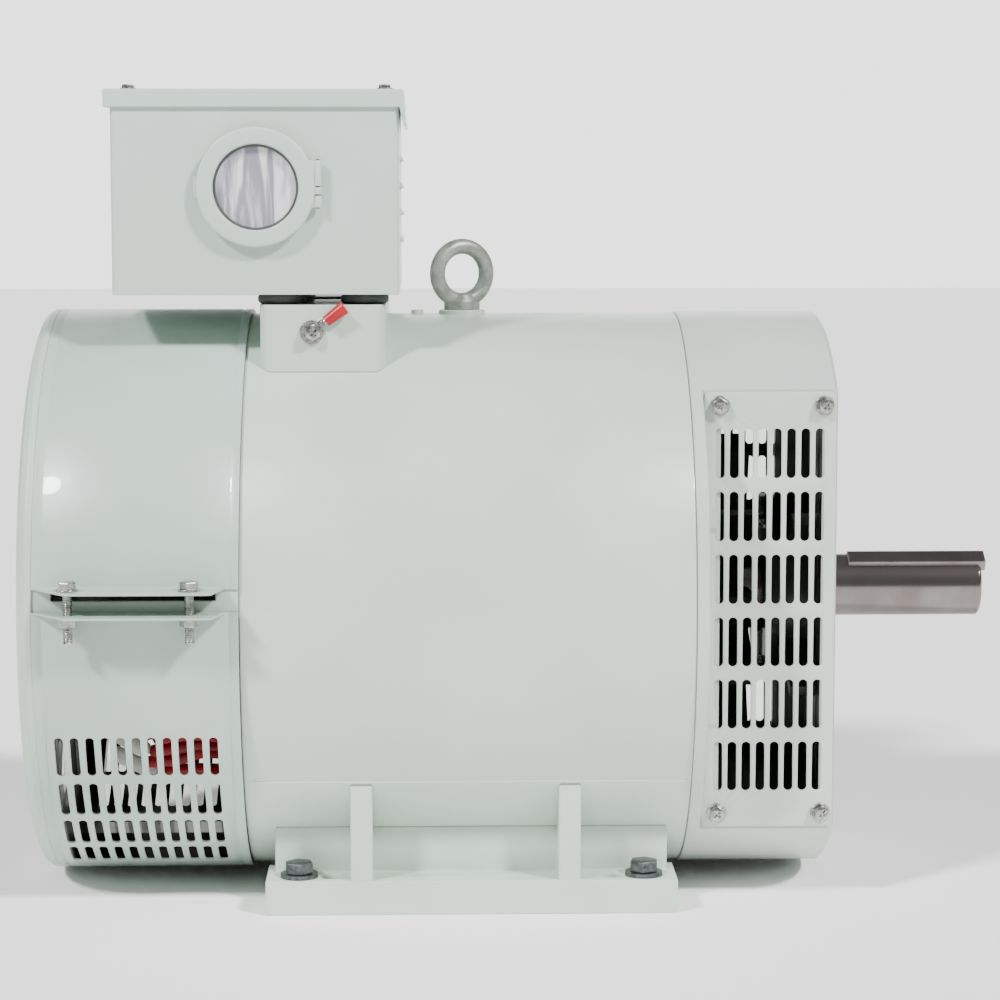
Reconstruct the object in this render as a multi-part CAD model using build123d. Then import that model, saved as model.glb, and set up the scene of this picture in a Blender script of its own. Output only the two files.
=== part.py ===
"""Foot-mounted brush-type AC generator head with a keyed shaft, in millimetres.

Frame: +X runs along the shaft towards its keyed end, +Z is up, and the meter window faces -Y.
The origin is the centre of the hold-down hole pattern, on the plane that the feet stand on.
"""

from build123d import *
import os
from math import cos, radians, sin

# ---------------------------------------------------------------- driving dimensions
AXIS_Z = 190.0  # shaft height above the feet
GAP = 0.3  # free space left between parts that move past each other

# round frame
SHELL_R = 184.7
SHELL_WALL = 8.7
SHELL_X0, SHELL_X1 = -144.0, 139.0
SHELL_BORE = SHELL_R - SHELL_WALL

# rear end bracket and the sheet bands that close it
REAR_X = -281.0
RIM_R = 187.6
BAND_SHEET = 1.5
BAND_R = RIM_R
BAND_SEAT_R = BAND_R - BAND_SHEET
BAND_X0, BAND_X1 = -271.0, SHELL_X0
BAND_SPLIT_TOP, BAND_SPLIT_LOW = 24.0, 10.5  # heights of the two flanges above the shaft axis
FLANGE_REACH = 25.0
FLANGE_BACK = (-270.5, -152.0)
FLANGE_FRONT = (-248.0, -159.0)
BAND_BOLT_X = (-247.0, -173.0)
BAND_BOLT_Y = BAND_R + 12.5
BAND_SLOT = (5.6, 30.0)
BAND_SLOT_COLUMNS, BAND_SLOT_PITCH = 11, 9.6
BAND_SLOT_X0 = -257.2
BAND_SLOT_ROWS, BAND_SLOT_FIRST, BAND_SLOT_STEP = 4, 26.6, 11.2  # degrees below the horizontal

# drive end bracket
DRIVE_X1 = 233.5
DRIVE_R = 185.5
FLAT_Y = 119.0  # half-width over the casting's flats
COLLAR_X1 = 147.0
CASTING_WALL = 9.0
BOSS_X1 = 237.5

# grille plates on the flats
GRILLE_SHEET = 2.0
GRILLE_X0, GRILLE_X1 = 148.0, 232.5
GRILLE_HALF = 140.4
GRILLE_SLOT = (5.8, 31.8)
GRILLE_COLUMNS, GRILLE_ROWS = 8, 6
GRILLE_PITCH_X, GRILLE_PITCH_Z = 9.08, 40.4
GRILLE_SLOTS_X = 190.2
GRILLE_SCREW_X = (158.0, 224.7)
GRILLE_SCREW_Z = 131.5

# feet
FOOT_X = 131.0
FOOT_OUT, FOOT_IN = 150.0, 102.0
FOOT_H = 22.0
WEB_OUT, WEB_IN = 122.0, 110.0
RIB_X = (-70.0, 62.0)
RIB_W = 14.0
RIB_TOP = 85.0
RIB_LEAN = 3.0  # the rib's outer edge leans outwards by this much at its top
BOLT_X, BOLT_Y = 110.0, 136.0
FREE_HOLE_X = 90.0
FOOT_HOLE_R = 6.5

# pedestal and terminal box
PED_X = (-134.0, -54.0)
PED_Y = 105.0
PED_TOP = AXIS_Z + 195.0
PED_WALL = 6.0
BOX_X = (-227.0, -45.0)
BOX_Y = 107.0
BOX_Z = (AXIS_Z + 201.5, AXIS_Z + 328.5)
SHEET = 2.0
LID_X = (-231.0, -42.0)
LID_Y = 109.0
LID_TOP = AXIS_Z + 331.0
LID_SKIRT = 11.5
MOUNT_X, MOUNT_Y = (-120.5, -67.5), 84.0
LEAD_HOLE_X = -94.0

# meter window
WINDOW_X, WINDOW_Z = -135.4, AXIS_Z + 269.4
WINDOW_R, WINDOW_HOLE_R = 37.7, 27.5
WINDOW_PROUD = 7.0
HINGE_X = WINDOW_X + WINDOW_R + 1.6
HINGE_Y = -BOX_Y - 4.6

# rotating assembly
BORE_R = 118.0  # stator bore
ROTOR_R = 116.5
CORE_X = 85.0  # half-length of both cores
SHAFT_TIP = 346.5
SHAFT_R = 21.0
SHAFT_CORE_R = 30.0
SLIP_SEAT_R = 22.0
RING_R = 40.0
KEY_W, KEY_H, KEY_PROUD = 12.0, 8.0, 3.0
KEY_TURN = 30.0  # the key leans this far from the top towards -Y
KEY_X = (256.5, 349.5)
CENTRE_HOLE_R, CENTRE_HOLE_DEPTH = 7.0, 36.0

# bearings: bore radius, outer radius, and the ends along the shaft
DRIVE_BEARING = (22.5, 50.0, 204.0, 229.0)
REAR_BEARING = (17.5, 36.0, -268.0, -251.0)
BALLS = 7

# brushes
BRUSH_X = (-218.0, -190.0)
BRUSH_SIZE = (12.0, 16.0)
BRUSH_TOP = 70.0
BRUSH_BOX_WALL = 4.0
SPRING_TOP = 88.0


# ---------------------------------------------------------------- shaping helpers
def block(x0, x1, y0, y1, z0, z1):
    """A plain block between six planes."""
    return Pos((x0 + x1) / 2, (y0 + y1) / 2, (z0 + z1) / 2) * Box(x1 - x0, y1 - y0, z1 - z0)


def bar_x(radius, x0, x1, y=0.0, z=AXIS_Z):
    """A round bar that lies along X."""
    return Pos((x0 + x1) / 2, y, z) * Rot(0, 90, 0) * Cylinder(radius, x1 - x0)


def bar_y(radius, y0, y1, x, z):
    """A round bar that lies along Y."""
    return Pos(x, (y0 + y1) / 2, z) * Rot(90, 0, 0) * Cylinder(radius, y1 - y0)


def bar_z(radius, z0, z1, x, y):
    """An upright round bar."""
    return Pos(x, y, (z0 + z1) / 2) * Cylinder(radius, z1 - z0)


def ring_x(outer, inner, x0, x1):
    """A tube about the shaft axis."""
    return bar_x(outer, x0, x1) - bar_x(inner, x0 - 1, x1 + 1)


def turned(*points):
    """A solid of revolution about the shaft axis, from a closed profile of (x, radius) points."""
    profile = make_face(Polyline(*points, close=True))
    return Pos(0, 0, AXIS_Z) * revolve(profile, Axis.X, 360)


def stamped_x(outline, x0, x1):
    """Extrudes an outline drawn in Y and Z about the shaft axis, from x0 to x1."""
    plane = Plane(origin=(x0, 0, AXIS_Z), x_dir=(0, 1, 0), z_dir=(1, 0, 0))
    return extrude(plane * outline, x1 - x0)


def stamped_y(outline, y0, y1, z=AXIS_Z):
    """Extrudes an outline drawn in X and Z, from y1 back to y0."""
    plane = Plane(origin=(0, y0, z), x_dir=(1, 0, 0), z_dir=(0, -1, 0))
    return extrude(plane * outline, -(y1 - y0))


def about_axis(angle):
    """Turns a piece about the shaft axis."""
    return Pos(0, 0, AXIS_Z) * Rot(angle, 0, 0) * Pos(0, 0, -AXIS_Z)


def both_sides(piece):
    """The piece and its twin across the middle plane."""
    return piece + mirror(piece, about=Plane.XZ)


def hex_screw(shank_r, length, flats, head_h, washer_r=0.0, washer_h=0.0):
    """A hexagon head screw along +Z, its seat at z = 0 and its shank below."""
    head = extrude(RegularPolygon(flats / 2, 6, major_radius=False), head_h)
    screw = Pos(0, 0, washer_h) * head + Pos(0, 0, -length / 2) * Cylinder(shank_r, length)
    if washer_r:
        screw += Pos(0, 0, washer_h / 2) * Cylinder(washer_r, washer_h)
    return screw


def pan_screw(shank_r, length, head_r, head_h):
    """A pan head screw with a cross recess, along +Z, its seat at z = 0."""
    head = Pos(0, 0, head_h / 2) * Cone(head_r, head_r * 0.7, head_h)
    recess = Box(head_r * 1.1, head_r * 0.25, head_h) + Box(head_r * 0.25, head_r * 1.1, head_h)
    return head - Pos(0, 0, head_h) * recess + Pos(0, 0, -length / 2) * Cylinder(shank_r, length)


FACE_FRONT = Rot(90, 0, 0)  # turns +Z to -Y
FACE_BACK = Rot(-90, 0, 0)  # turns +Z to +Y
FACE_DRIVE = Rot(0, 90, 0)  # turns +Z to +X
FACE_REAR = Rot(0, -90, 0)  # turns +Z to -X


def lug_places():
    """Where the end bracket screws stand, as (y, z) on the shell's ends."""
    return [(side * 156.0, AXIS_Z + rise) for side in (-1, 1) for rise in (-62.0, 62.0)]


def slotted(outline, width, length, columns, rows, pitch_x, pitch_z):
    """Cuts a grid of slots with eased ends in a flat outline."""
    slot = chamfer(Rectangle(width, length).vertices(), width * 0.3)
    return outline - [place * slot for place in GridLocations(pitch_x, pitch_z, columns, rows)]


# ---------------------------------------------------------------- frame, feet and pedestal
def make_stator_shell():
    """Rolled steel tube with inside lugs for the end brackets and a boss for the lifting eye."""
    shell = ring_x(SHELL_R, SHELL_BORE, SHELL_X0, SHELL_X1)
    boss = bar_z(15.5, AXIS_Z + SHELL_R - 6, AXIS_Z + SHELL_R + 2.5, -4.0, 0)
    shell += boss
    for y, z in lug_places():
        for x0, x1 in ((SHELL_X0, SHELL_X0 + 22), (SHELL_X1 - 22, SHELL_X1)):
            shell += bar_x(12.0, x0, x1, y, z) & bar_x(SHELL_R - 1, x0, x1)
            shell -= bar_x(4.0, x0 - 1, x1 + 1, y, z)
    shell -= bar_z(5.0, AXIS_Z + 150, AXIS_Z + 200, -4.0, 0)
    shell -= bar_z(26.0, AXIS_Z + 150, AXIS_Z + 200, LEAD_HOLE_X, 0)
    return shell


def make_foot():
    """Welded foot: flat pad, upright web and two ribs, cut to sit against the shell."""
    pad = block(-FOOT_X, FOOT_X, -FOOT_OUT, -FOOT_IN, 0, FOOT_H)
    corners = pad.edges().filter_by(Axis.Z).group_by(Axis.Y)[0].sort_by(Axis.X)
    pad = fillet(corners[-1], 10.0)
    web = block(-FOOT_X + 4, FOOT_X - 4, -WEB_OUT, -WEB_IN, FOOT_H, 75)
    foot = pad + web
    for x in RIB_X:
        side = make_face(
            Polyline(
                (-FOOT_OUT + 0.5, FOOT_H),
                (-FOOT_OUT + 0.5 - RIB_LEAN, RIB_TOP + 4),
                (-WEB_OUT + 2, RIB_TOP + 4),
                (-WEB_OUT + 2, FOOT_H),
                close=True,
            )
        )
        plane = Plane(origin=(x - RIB_W / 2, 0, 0), x_dir=(0, 1, 0), z_dir=(1, 0, 0))
        foot += extrude(plane * side, RIB_W)
    for side in (-1, 1):
        for x in (BOLT_X, FREE_HOLE_X):
            foot -= bar_z(FOOT_HOLE_R, -1, FOOT_H + 1, side * x, -BOLT_Y)
    return foot - bar_x(SHELL_R, -200, 200)


def make_pedestal():
    """Hollow cast neck that carries the terminal box and passes the leads."""
    outer = block(PED_X[0], PED_X[1], -PED_Y, PED_Y, AXIS_Z + 120, PED_TOP)
    outer = fillet(outer.edges().filter_by(Axis.Z), 8.0)
    wall = PED_WALL
    inner = block(PED_X[0] + wall, PED_X[1] - wall, -PED_Y + wall, PED_Y - wall, 0, PED_TOP - wall)
    neck = outer - inner - bar_z(24.0, PED_TOP - 10, PED_TOP + 1, LEAD_HOLE_X, 0)
    for y in (-MOUNT_Y, MOUNT_Y):
        for x in MOUNT_X:
            inside = min(max(x, PED_X[0] + 10), PED_X[1] - 10)
            neck += bar_z(9.0, PED_TOP - 20, PED_TOP - wall, inside, y)
            neck -= bar_z(4.0, PED_TOP - 22, PED_TOP + 1, x, y)
    neck -= bar_y(3.0, -PED_Y - 1, -PED_Y + 8, GROUND_X, GROUND_Z)
    return neck - bar_x(SHELL_R, PED_X[0] - 5, PED_X[1] + 5)


GROUND_X, GROUND_Z = -101.0, AXIS_Z + 177.7
GROUND_TILT = 37.0  # the earth lug points up and towards +X


def make_ground_parts():
    """Earth screw, its washer, the crimped ring lug and the lug's red sleeve."""
    seat = Pos(GROUND_X, -PED_Y, GROUND_Z)
    lug_t, washer_t = 1.2, 1.4
    lug_plane = seat * FACE_FRONT
    lean = Rot(0, 0, GROUND_TILT)
    tongue = Pos(8, 0, lug_t / 2) * Box(7, 6, lug_t)
    eye = Pos(0, 0, lug_t / 2) * Cylinder(7.6, lug_t) + tongue
    eye -= Cylinder(3.0, 6)
    sleeve_start, sleeve_len, sleeve_lift = 11.5, 15.0, 4.6
    barrel = Pos(sleeve_start + 2, 0, sleeve_lift - 1.2) * Rot(0, 90, 0) * Cylinder(2.4, 6)
    barrel += Pos(sleeve_start - 1.5, 0, 1.6) * Box(3, 4.4, 3.2)
    lug = lug_plane * lean * (eye + barrel)
    profile = make_face(Polyline((0, 0), (3.4, 0), (4.4, sleeve_len), (0, sleeve_len), close=True))
    sleeve = Pos(sleeve_start, 0, sleeve_lift) * Rot(0, 90, 0) * revolve(Plane.XZ * profile, Axis.Z, 360)
    sleeve = lug_plane * lean * sleeve - lug
    washer = lug_plane * Pos(0, 0, lug_t + washer_t / 2) * (Cylinder(6.8, washer_t) - Cylinder(3.0, 3))
    screw = lug_plane * Pos(0, 0, lug_t + washer_t) * pan_screw(3.0, 9.0, 5.6, 3.6)
    return screw, washer, lug, sleeve


# ---------------------------------------------------------------- stator and rotor electrics
STATOR_SLOTS = 36
SLOT_DEPTH_R = 146.0
SLOT_W = 9.0


def make_stator_core():
    """Laminated ring with open slots towards the bore."""
    ring = Circle(SHELL_BORE) - Circle(BORE_R)
    slot = Pos((BORE_R + SLOT_DEPTH_R) / 2 - 2, 0) * Rectangle(SLOT_DEPTH_R - BORE_R + 4, SLOT_W)
    ring -= [Rot(0, 0, i * 360 / STATOR_SLOTS) * slot for i in range(STATOR_SLOTS)]
    return stamped_x(ring, -CORE_X, CORE_X)


def make_stator_windings():
    """Coil sides in every slot, joined by the laced end turns at both ends."""
    side = Pos((BORE_R + SLOT_DEPTH_R) / 2 + 1, 0)
    side *= Rectangle(SLOT_DEPTH_R - BORE_R - 2, SLOT_W)
    sides = [Rot(0, 0, i * 360 / STATOR_SLOTS) * side for i in range(STATOR_SLOTS)]
    bars = stamped_x(Sketch() + sides, -CORE_X - 1, CORE_X + 1)
    end_turns = turned(
        (CORE_X, BORE_R + 3),
        (CORE_X + 24, BORE_R + 7),
        (CORE_X + 31, BORE_R + 15),
        (CORE_X + 31, SLOT_DEPTH_R + 2),
        (CORE_X + 24, SLOT_DEPTH_R + 8),
        (CORE_X, SLOT_DEPTH_R + 4),
    )
    return bars + end_turns + mirror(end_turns, about=Plane.YZ)


POLE_W = 70.0
SHOE_FLAT = 88.0
HUB_R = 60.0


def make_rotor_core():
    """Four-pole laminated rotor, with pole bodies and wide shoes."""
    outline = Circle(HUB_R)
    for i in range(4):
        pole = Pos(SHOE_FLAT / 2 + 3, 0) * Rectangle(SHOE_FLAT + 6, POLE_W)
        shoe = Circle(ROTOR_R) & Pos(SHOE_FLAT + 50, 0) * Rectangle(100, 400)
        outline += Rot(0, 0, i * 90) * (pole + shoe)
    return stamped_x(outline - Circle(SHAFT_CORE_R), -CORE_X, CORE_X)


def make_field_coils():
    """Four wound coils, one round each pole body under its shoe."""
    low, high, build, over = HUB_R + 2, SHOE_FLAT, 18.0, 19.0
    half = POLE_W / 2
    outer = Pos(0, 0, (low + high) / 2) * Box(2 * (CORE_X + over), 2 * (half + build), high - low)
    outer = fillet(outer.edges().filter_by(Axis.Z), 14.0)
    coil = outer - Pos(0, 0, (low + high) / 2) * Box(2 * CORE_X, 2 * half, high)
    return sum((Pos(0, 0, AXIS_Z) * Rot(i * 90, 0, 0) * coil for i in range(1, 4)),
               Pos(0, 0, AXIS_Z) * coil)


def make_shaft():
    """Stepped steel shaft with bearing seats, a keyway and a tapped centre hole."""
    drive_seat, rear_seat = DRIVE_BEARING[0], REAR_BEARING[0]
    shaft = turned(
        (REAR_BEARING[2] - 3, 0),
        (REAR_BEARING[2] - 3, rear_seat - 1),
        (REAR_BEARING[2] - 2, rear_seat),
        (REAR_BEARING[3], rear_seat),
        (REAR_BEARING[3], SLIP_SEAT_R),
        (-168, SLIP_SEAT_R),
        (-168, SHAFT_CORE_R),
        (196, SHAFT_CORE_R),
        (196, SHAFT_CORE_R - 3),
        (DRIVE_BEARING[2], SHAFT_CORE_R - 3),
        (DRIVE_BEARING[2], drive_seat),
        (BOSS_X1 + 1, drive_seat),
        (BOSS_X1 + 1, SHAFT_R),
        (SHAFT_TIP - 1.5, SHAFT_R),
        (SHAFT_TIP, SHAFT_R - 1.5),
        (SHAFT_TIP, 0),
    )
    keyway = block(KEY_X[0], SHAFT_TIP + 1, -KEY_W / 2, KEY_W / 2, SHAFT_R + KEY_PROUD - KEY_H, SHAFT_R + 9)
    shaft -= Pos(0, 0, AXIS_Z) * Rot(KEY_TURN, 0, 0) * keyway
    return shaft - bar_x(CENTRE_HOLE_R, SHAFT_TIP - CENTRE_HOLE_DEPTH, SHAFT_TIP + 1)


def make_key():
    """Square-ended parallel key, a little longer than the shaft."""
    bottom = SHAFT_R + KEY_PROUD - KEY_H
    key = block(KEY_X[0], KEY_X[1], -KEY_W / 2, KEY_W / 2, bottom, bottom + KEY_H)
    key = chamfer(key.edges().group_by(Axis.Z)[-1], 0.6)
    return Pos(0, 0, AXIS_Z) * Rot(KEY_TURN, 0, 0) * key


FAN_X0 = 152.0
FAN_R = 103.0
FAN_BLADES = 11


def make_fan():
    """Radial fan: hub, back disc and leaning blades."""
    hub = ring_x(46.0, SHAFT_CORE_R, FAN_X0, FAN_X0 + 30)
    disc = ring_x(FAN_R, 40.0, FAN_X0, FAN_X0 + 4)
    blade = Rot(0, 0, 14) * Pos(71, 0) * Rectangle(68, 4)
    blade = blade & Circle(FAN_R)
    blades = [Rot(0, 0, i * 360 / FAN_BLADES) * blade for i in range(FAN_BLADES)]
    return hub + disc + stamped_x(Sketch() + blades, FAN_X0 + 2, FAN_X0 + 34)


def make_slip_ring_hub():
    """Moulded insulating hub whose collars part the two rings."""
    seat, collar = 30.0, 35.0
    return turned(
        (-235, SLIP_SEAT_R), (-235, collar), (-230, collar), (-230, seat),
        (-206, seat), (-206, collar), (-202, collar), (-202, seat),
        (-178, seat), (-178, collar), (-173, collar), (-173, SLIP_SEAT_R),
    )


def make_slip_rings():
    """Two brass rings on the hub."""
    return ring_x(RING_R, 30.0, -230, -206) + ring_x(RING_R, 30.0, -202, -178)


def make_bearing(bore_r, outer_r, x0, x1):
    """Outer ring, inner ring and balls of a deep groove ball bearing."""
    pitch = (bore_r + outer_r) / 2
    ball_r = (outer_r - bore_r) * 0.28
    middle = (x0 + x1) / 2
    step = ball_r * 0.6
    half = ball_r * 0.85
    deep, lift = ball_r + GAP, ball_r + 0.02
    outer = turned(
        (x0, outer_r), (x0, pitch + step), (middle - half, pitch + step), (middle - half / 2, pitch + deep),
        (middle + half / 2, pitch + deep), (middle + half, pitch + step), (x1, pitch + step), (x1, outer_r),
    )
    inner = turned(
        (x0, bore_r), (x0, pitch - step), (middle - half, pitch - step), (middle - half / 2, pitch - lift),
        (middle + half / 2, pitch - lift), (middle + half, pitch - step), (x1, pitch - step), (x1, bore_r),
    )
    balls = [
        about_axis(i * 360 / BALLS) * Pos(middle, 0, AXIS_Z + pitch) * Sphere(ball_r) for i in range(BALLS)
    ]
    return outer, inner, Part() + balls


# ---------------------------------------------------------------- end brackets and covers
def make_rear_bracket():
    """Cast end bracket: vented end wall with the bearing boss, four arms and the seat ring."""
    seat = BAND_SEAT_R
    wall = turned(
        (REAR_X, 0), (REAR_X, RIM_R - 7), (REAR_X + 2, RIM_R - 2.5), (REAR_X + 6, RIM_R),
        (BAND_X0, RIM_R), (BAND_X0, seat), (BAND_X0 + 12, seat), (BAND_X0 + 12, seat - 12),
        (REAR_X + 9, seat - 16), (REAR_X + 9, 0),
    )
    vent = Circle(148) - Circle(68)
    spokes = [Rot(0, 0, i * 45 + 22.5) * Pos(100, 0) * Rectangle(200, 20) for i in range(8)]
    wall -= stamped_x(vent - spokes, REAR_X - 1, REAR_X + 20)
    boss = bar_x(48.0, REAR_X, REAR_BEARING[3] + 1)
    front = ring_x(seat, SHELL_BORE - 22, SHELL_X0 - 14, SHELL_X0)
    arm = make_face(Polyline((166, -17), (190, -17), (190, 17), (166, 17), close=True))
    arms = stamped_x(Sketch() + [Rot(0, 0, i * 90) * arm for i in range(4)], REAR_X + 8, SHELL_X0 - 5)
    arms = arms & bar_x(seat, REAR_X, SHELL_X0)
    bracket = wall + boss + front + arms
    bracket -= bar_x(REAR_BEARING[1], REAR_BEARING[2], REAR_BEARING[3] + 20)
    bracket -= bar_x(30.0, REAR_X - 1, REAR_BEARING[2] + 1)
    for y, z in lug_places():
        bracket -= bar_x(4.0, SHELL_X0 - 20, SHELL_X0 + 1, y, z)
    for i in range(3):
        bracket -= about_axis(i * 120) * bar_x(2.5, REAR_X - 1, REAR_X + 10, 0, AXIS_Z + 39)
    return bracket


def make_drive_bracket():
    """Cast end bracket: round collar, two flats with air windows, end wall and bearing boss."""
    outline = Circle(DRIVE_R) & Rectangle(2 * FLAT_Y, 500)
    hollow = Circle(DRIVE_R - CASTING_WALL) & Rectangle(2 * (FLAT_Y - CASTING_WALL), 500)
    collar = stamped_x(Circle(DRIVE_R) - hollow, SHELL_X1, COLLAR_X1)
    housing = stamped_x(outline, SHELL_X1, DRIVE_X1) - stamped_x(hollow, SHELL_X1 - 1, DRIVE_X1 - 10)
    crest = housing.edges().filter_by(GeomType.CIRCLE).group_by(Axis.X)[-1]
    housing = chamfer(crest, 2.0)
    boss = bar_x(62.0, DRIVE_BEARING[2], BOSS_X1)
    bracket = collar + housing + boss
    for i in range(6):
        rib = block(DRIVE_X1 - 26, DRIVE_X1 - 9, -4, 4, AXIS_Z + 58, AXIS_Z + 113)
        bracket += about_axis(i * 60) * rib
    bracket -= bar_x(DRIVE_BEARING[1], DRIVE_BEARING[2] - 8, DRIVE_BEARING[3])
    bracket -= bar_x(DRIVE_BEARING[0] + 2, DRIVE_BEARING[3] - 1, BOSS_X1 + 1)
    window = make_face(Polyline((159, -123), (224, -123), (224, 123), (159, 123), close=True))
    window = fillet(window.vertices(), 8.0)
    for y0 in (-FLAT_Y - 1, FLAT_Y - 16):
        bracket -= stamped_y(window, y0, y0 + 17)
    for x in GRILLE_SCREW_X:
        for z in (-GRILLE_SCREW_Z, GRILLE_SCREW_Z):
            bracket -= both_sides(bar_y(3.0, -FLAT_Y - 1, -FLAT_Y + 12, x, AXIS_Z + z))
    for y, z in lug_places():
        bracket -= bar_x(4.0, SHELL_X1 - 1, COLLAR_X1 + 1, y, z)
    for i in range(3):
        bracket -= about_axis(i * 120 + 30) * bar_x(2.5, 200, 216, 0, AXIS_Z + 56)
    return bracket


def make_grille():
    """Punched air grille that lies on the front flat, with rows of upright slots."""
    width = GRILLE_X1 - GRILLE_X0
    plate = RectangleRounded(width, 2 * GRILLE_HALF, 4.0)
    plate = Pos((GRILLE_X0 + GRILLE_X1) / 2 - GRILLE_SLOTS_X, 0) * plate
    plate = slotted(plate, *GRILLE_SLOT, GRILLE_COLUMNS, GRILLE_ROWS, GRILLE_PITCH_X, GRILLE_PITCH_Z)
    plate = Pos(GRILLE_SLOTS_X, 0) * plate
    for x in GRILLE_SCREW_X:
        for z in (-GRILLE_SCREW_Z, GRILLE_SCREW_Z):
            plate -= Pos(x, z) * Circle(3.0)
    return stamped_y(plate, -FLAT_Y - GRILLE_SHEET, -FLAT_Y)


def make_band_half(upper):
    """Half of the rear cover: a rolled sheet band with a bolting flange along both edges."""
    sheet = ring_x(BAND_R, BAND_SEAT_R, BAND_X0, BAND_X1)
    reach = BAND_R + 60
    if upper:
        level = AXIS_Z + BAND_SPLIT_TOP
        half = sheet & block(-400, 0, -reach, reach, level, level + reach)
        flange_z = level
    else:
        level = AXIS_Z + BAND_SPLIT_LOW
        half = sheet & block(-400, 0, -reach, reach, level - 2 * reach, level)
        flange_z = level - BAND_SHEET
    edge = BAND_R + FLANGE_REACH
    flange = make_face(
        Polyline(
            (FLANGE_BACK[0], -BAND_SEAT_R + 4),
            (FLANGE_BACK[0], -BAND_R),
            (FLANGE_FRONT[0], -edge),
            (FLANGE_FRONT[1], -edge),
            (FLANGE_BACK[1], -BAND_R),
            (FLANGE_BACK[1], -BAND_SEAT_R + 4),
            close=True,
        )
    )
    flange = extrude(Plane(origin=(0, 0, flange_z)) * flange, BAND_SHEET)
    for x in BAND_BOLT_X:
        flange -= bar_z(3.0, flange_z - 1, flange_z + 3, x, -BAND_BOLT_Y)
    flange -= bar_x(BAND_SEAT_R, -400, 0)
    return half + both_sides(flange)


def make_lower_band():
    """Lower half, with four rows of slots on each side."""
    band = make_band_half(False)
    middle = BAND_SLOT_X0 + (BAND_SLOT_COLUMNS - 1) * BAND_SLOT_PITCH / 2
    slot = Rectangle(*BAND_SLOT)
    row = Sketch() + [place * slot for place in GridLocations(BAND_SLOT_PITCH, 1, BAND_SLOT_COLUMNS, 1)]
    punch = stamped_y(Pos(middle, 0) * row, -BAND_R - 8, -BAND_R + 8, AXIS_Z)
    punches = [
        about_axis(BAND_SLOT_FIRST + i * BAND_SLOT_STEP) * punch for i in range(BAND_SLOT_ROWS)
    ]
    return band - punches - [mirror(punch, about=Plane.XZ) for punch in punches]


# ---------------------------------------------------------------- terminal box
LOUVRE_Z = (99.0, 81.5, 64.0, 46.5)  # heights above the shaft axis, less 187 mm
LID_SCREW_X, LID_SCREW_Y = (-216.0, -54.0), 96.0


def make_terminal_box():
    """Folded sheet box: open top with corner tabs, meter hole, louvres and mount holes."""
    box = block(BOX_X[0], BOX_X[1], -BOX_Y, BOX_Y, BOX_Z[0], BOX_Z[1])
    box = fillet(box.edges().filter_by(Axis.Z), 3.0)
    box -= block(
        BOX_X[0] + SHEET, BOX_X[1] - SHEET, -BOX_Y + SHEET, BOX_Y - SHEET, BOX_Z[0] + SHEET, BOX_Z[1] + 1
    )
    for x in LID_SCREW_X:
        for y in (-LID_SCREW_Y, LID_SCREW_Y):
            x_wall = BOX_X[0] + 1 if x < LEAD_HOLE_X else BOX_X[1] - 1
            y_wall = (BOX_Y - 1) * (1 if y > 0 else -1)
            x_in = x + 8 if x < LEAD_HOLE_X else x - 8
            y_in = y - 8 if y > 0 else y + 8
            xs, ys = sorted((x_wall, x_in)), sorted((y_wall, y_in))
            box += block(xs[0], xs[1], ys[0], ys[1], BOX_Z[1] - 4, BOX_Z[1])
            box -= bar_z(2.5, BOX_Z[1] - 6, BOX_Z[1] + 1, x, y)
    box -= bar_y(WINDOW_HOLE_R + 1.5, -BOX_Y - 1, -BOX_Y + SHEET + 1, WINDOW_X, WINDOW_Z)
    box -= bar_z(24.0, BOX_Z[0] - 1, BOX_Z[0] + SHEET + 1, LEAD_HOLE_X, 0)
    for x in MOUNT_X:
        for y in (-MOUNT_Y, MOUNT_Y):
            box -= bar_z(4.0, BOX_Z[0] - 1, BOX_Z[0] + SHEET + 1, x, y)
    wall = BOX_X[1]
    for rise in LOUVRE_Z:
        z = AXIS_Z + 187 + rise
        hood = make_face(Polyline((wall - 1, z + 4.5), (wall, z + 4.5), (wall + 2.6, z), (wall - 1, z), close=True))
        mouth = make_face(
            Polyline((wall - 3, z + 2.2), (wall, z + 2.2), (wall + 1.6, z - 1), (wall - 3, z - 1), close=True)
        )
        box += stamped_y(hood, -46, 46, 0)
        box -= stamped_y(mouth, -44, 44, 0)
    return box


def make_lid():
    """Pressed lid with a shallow skirt that is deeper and flared above the louvres."""
    lid = block(LID_X[0], LID_X[1], -LID_Y, LID_Y, LID_TOP - LID_SKIRT, LID_TOP)
    lid = chamfer(lid.edges().group_by(Axis.Z)[-1], 1.2)
    drop = make_face(
        Polyline(
            (BOX_X[1] + 0.4, LID_TOP - LID_SKIRT),
            (LID_X[1], LID_TOP - LID_SKIRT),
            (LID_X[1] + 1.6, LID_TOP - 22.5),
            (LID_X[1] - 0.2, LID_TOP - 22.5),
            close=True,
        )
    )
    inner = block(BOX_X[0] - 0.4, BOX_X[1] + 0.4, -BOX_Y - 0.4, BOX_Y + 0.4, LID_TOP - 30, BOX_Z[1])
    lid = lid - inner + stamped_y(drop, -LID_Y, LID_Y, 0)
    for x in LID_SCREW_X:
        for y in (-LID_SCREW_Y, LID_SCREW_Y):
            lid -= bar_z(2.5, BOX_Z[1] - 1, LID_TOP + 1, x, y)
    return lid


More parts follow.
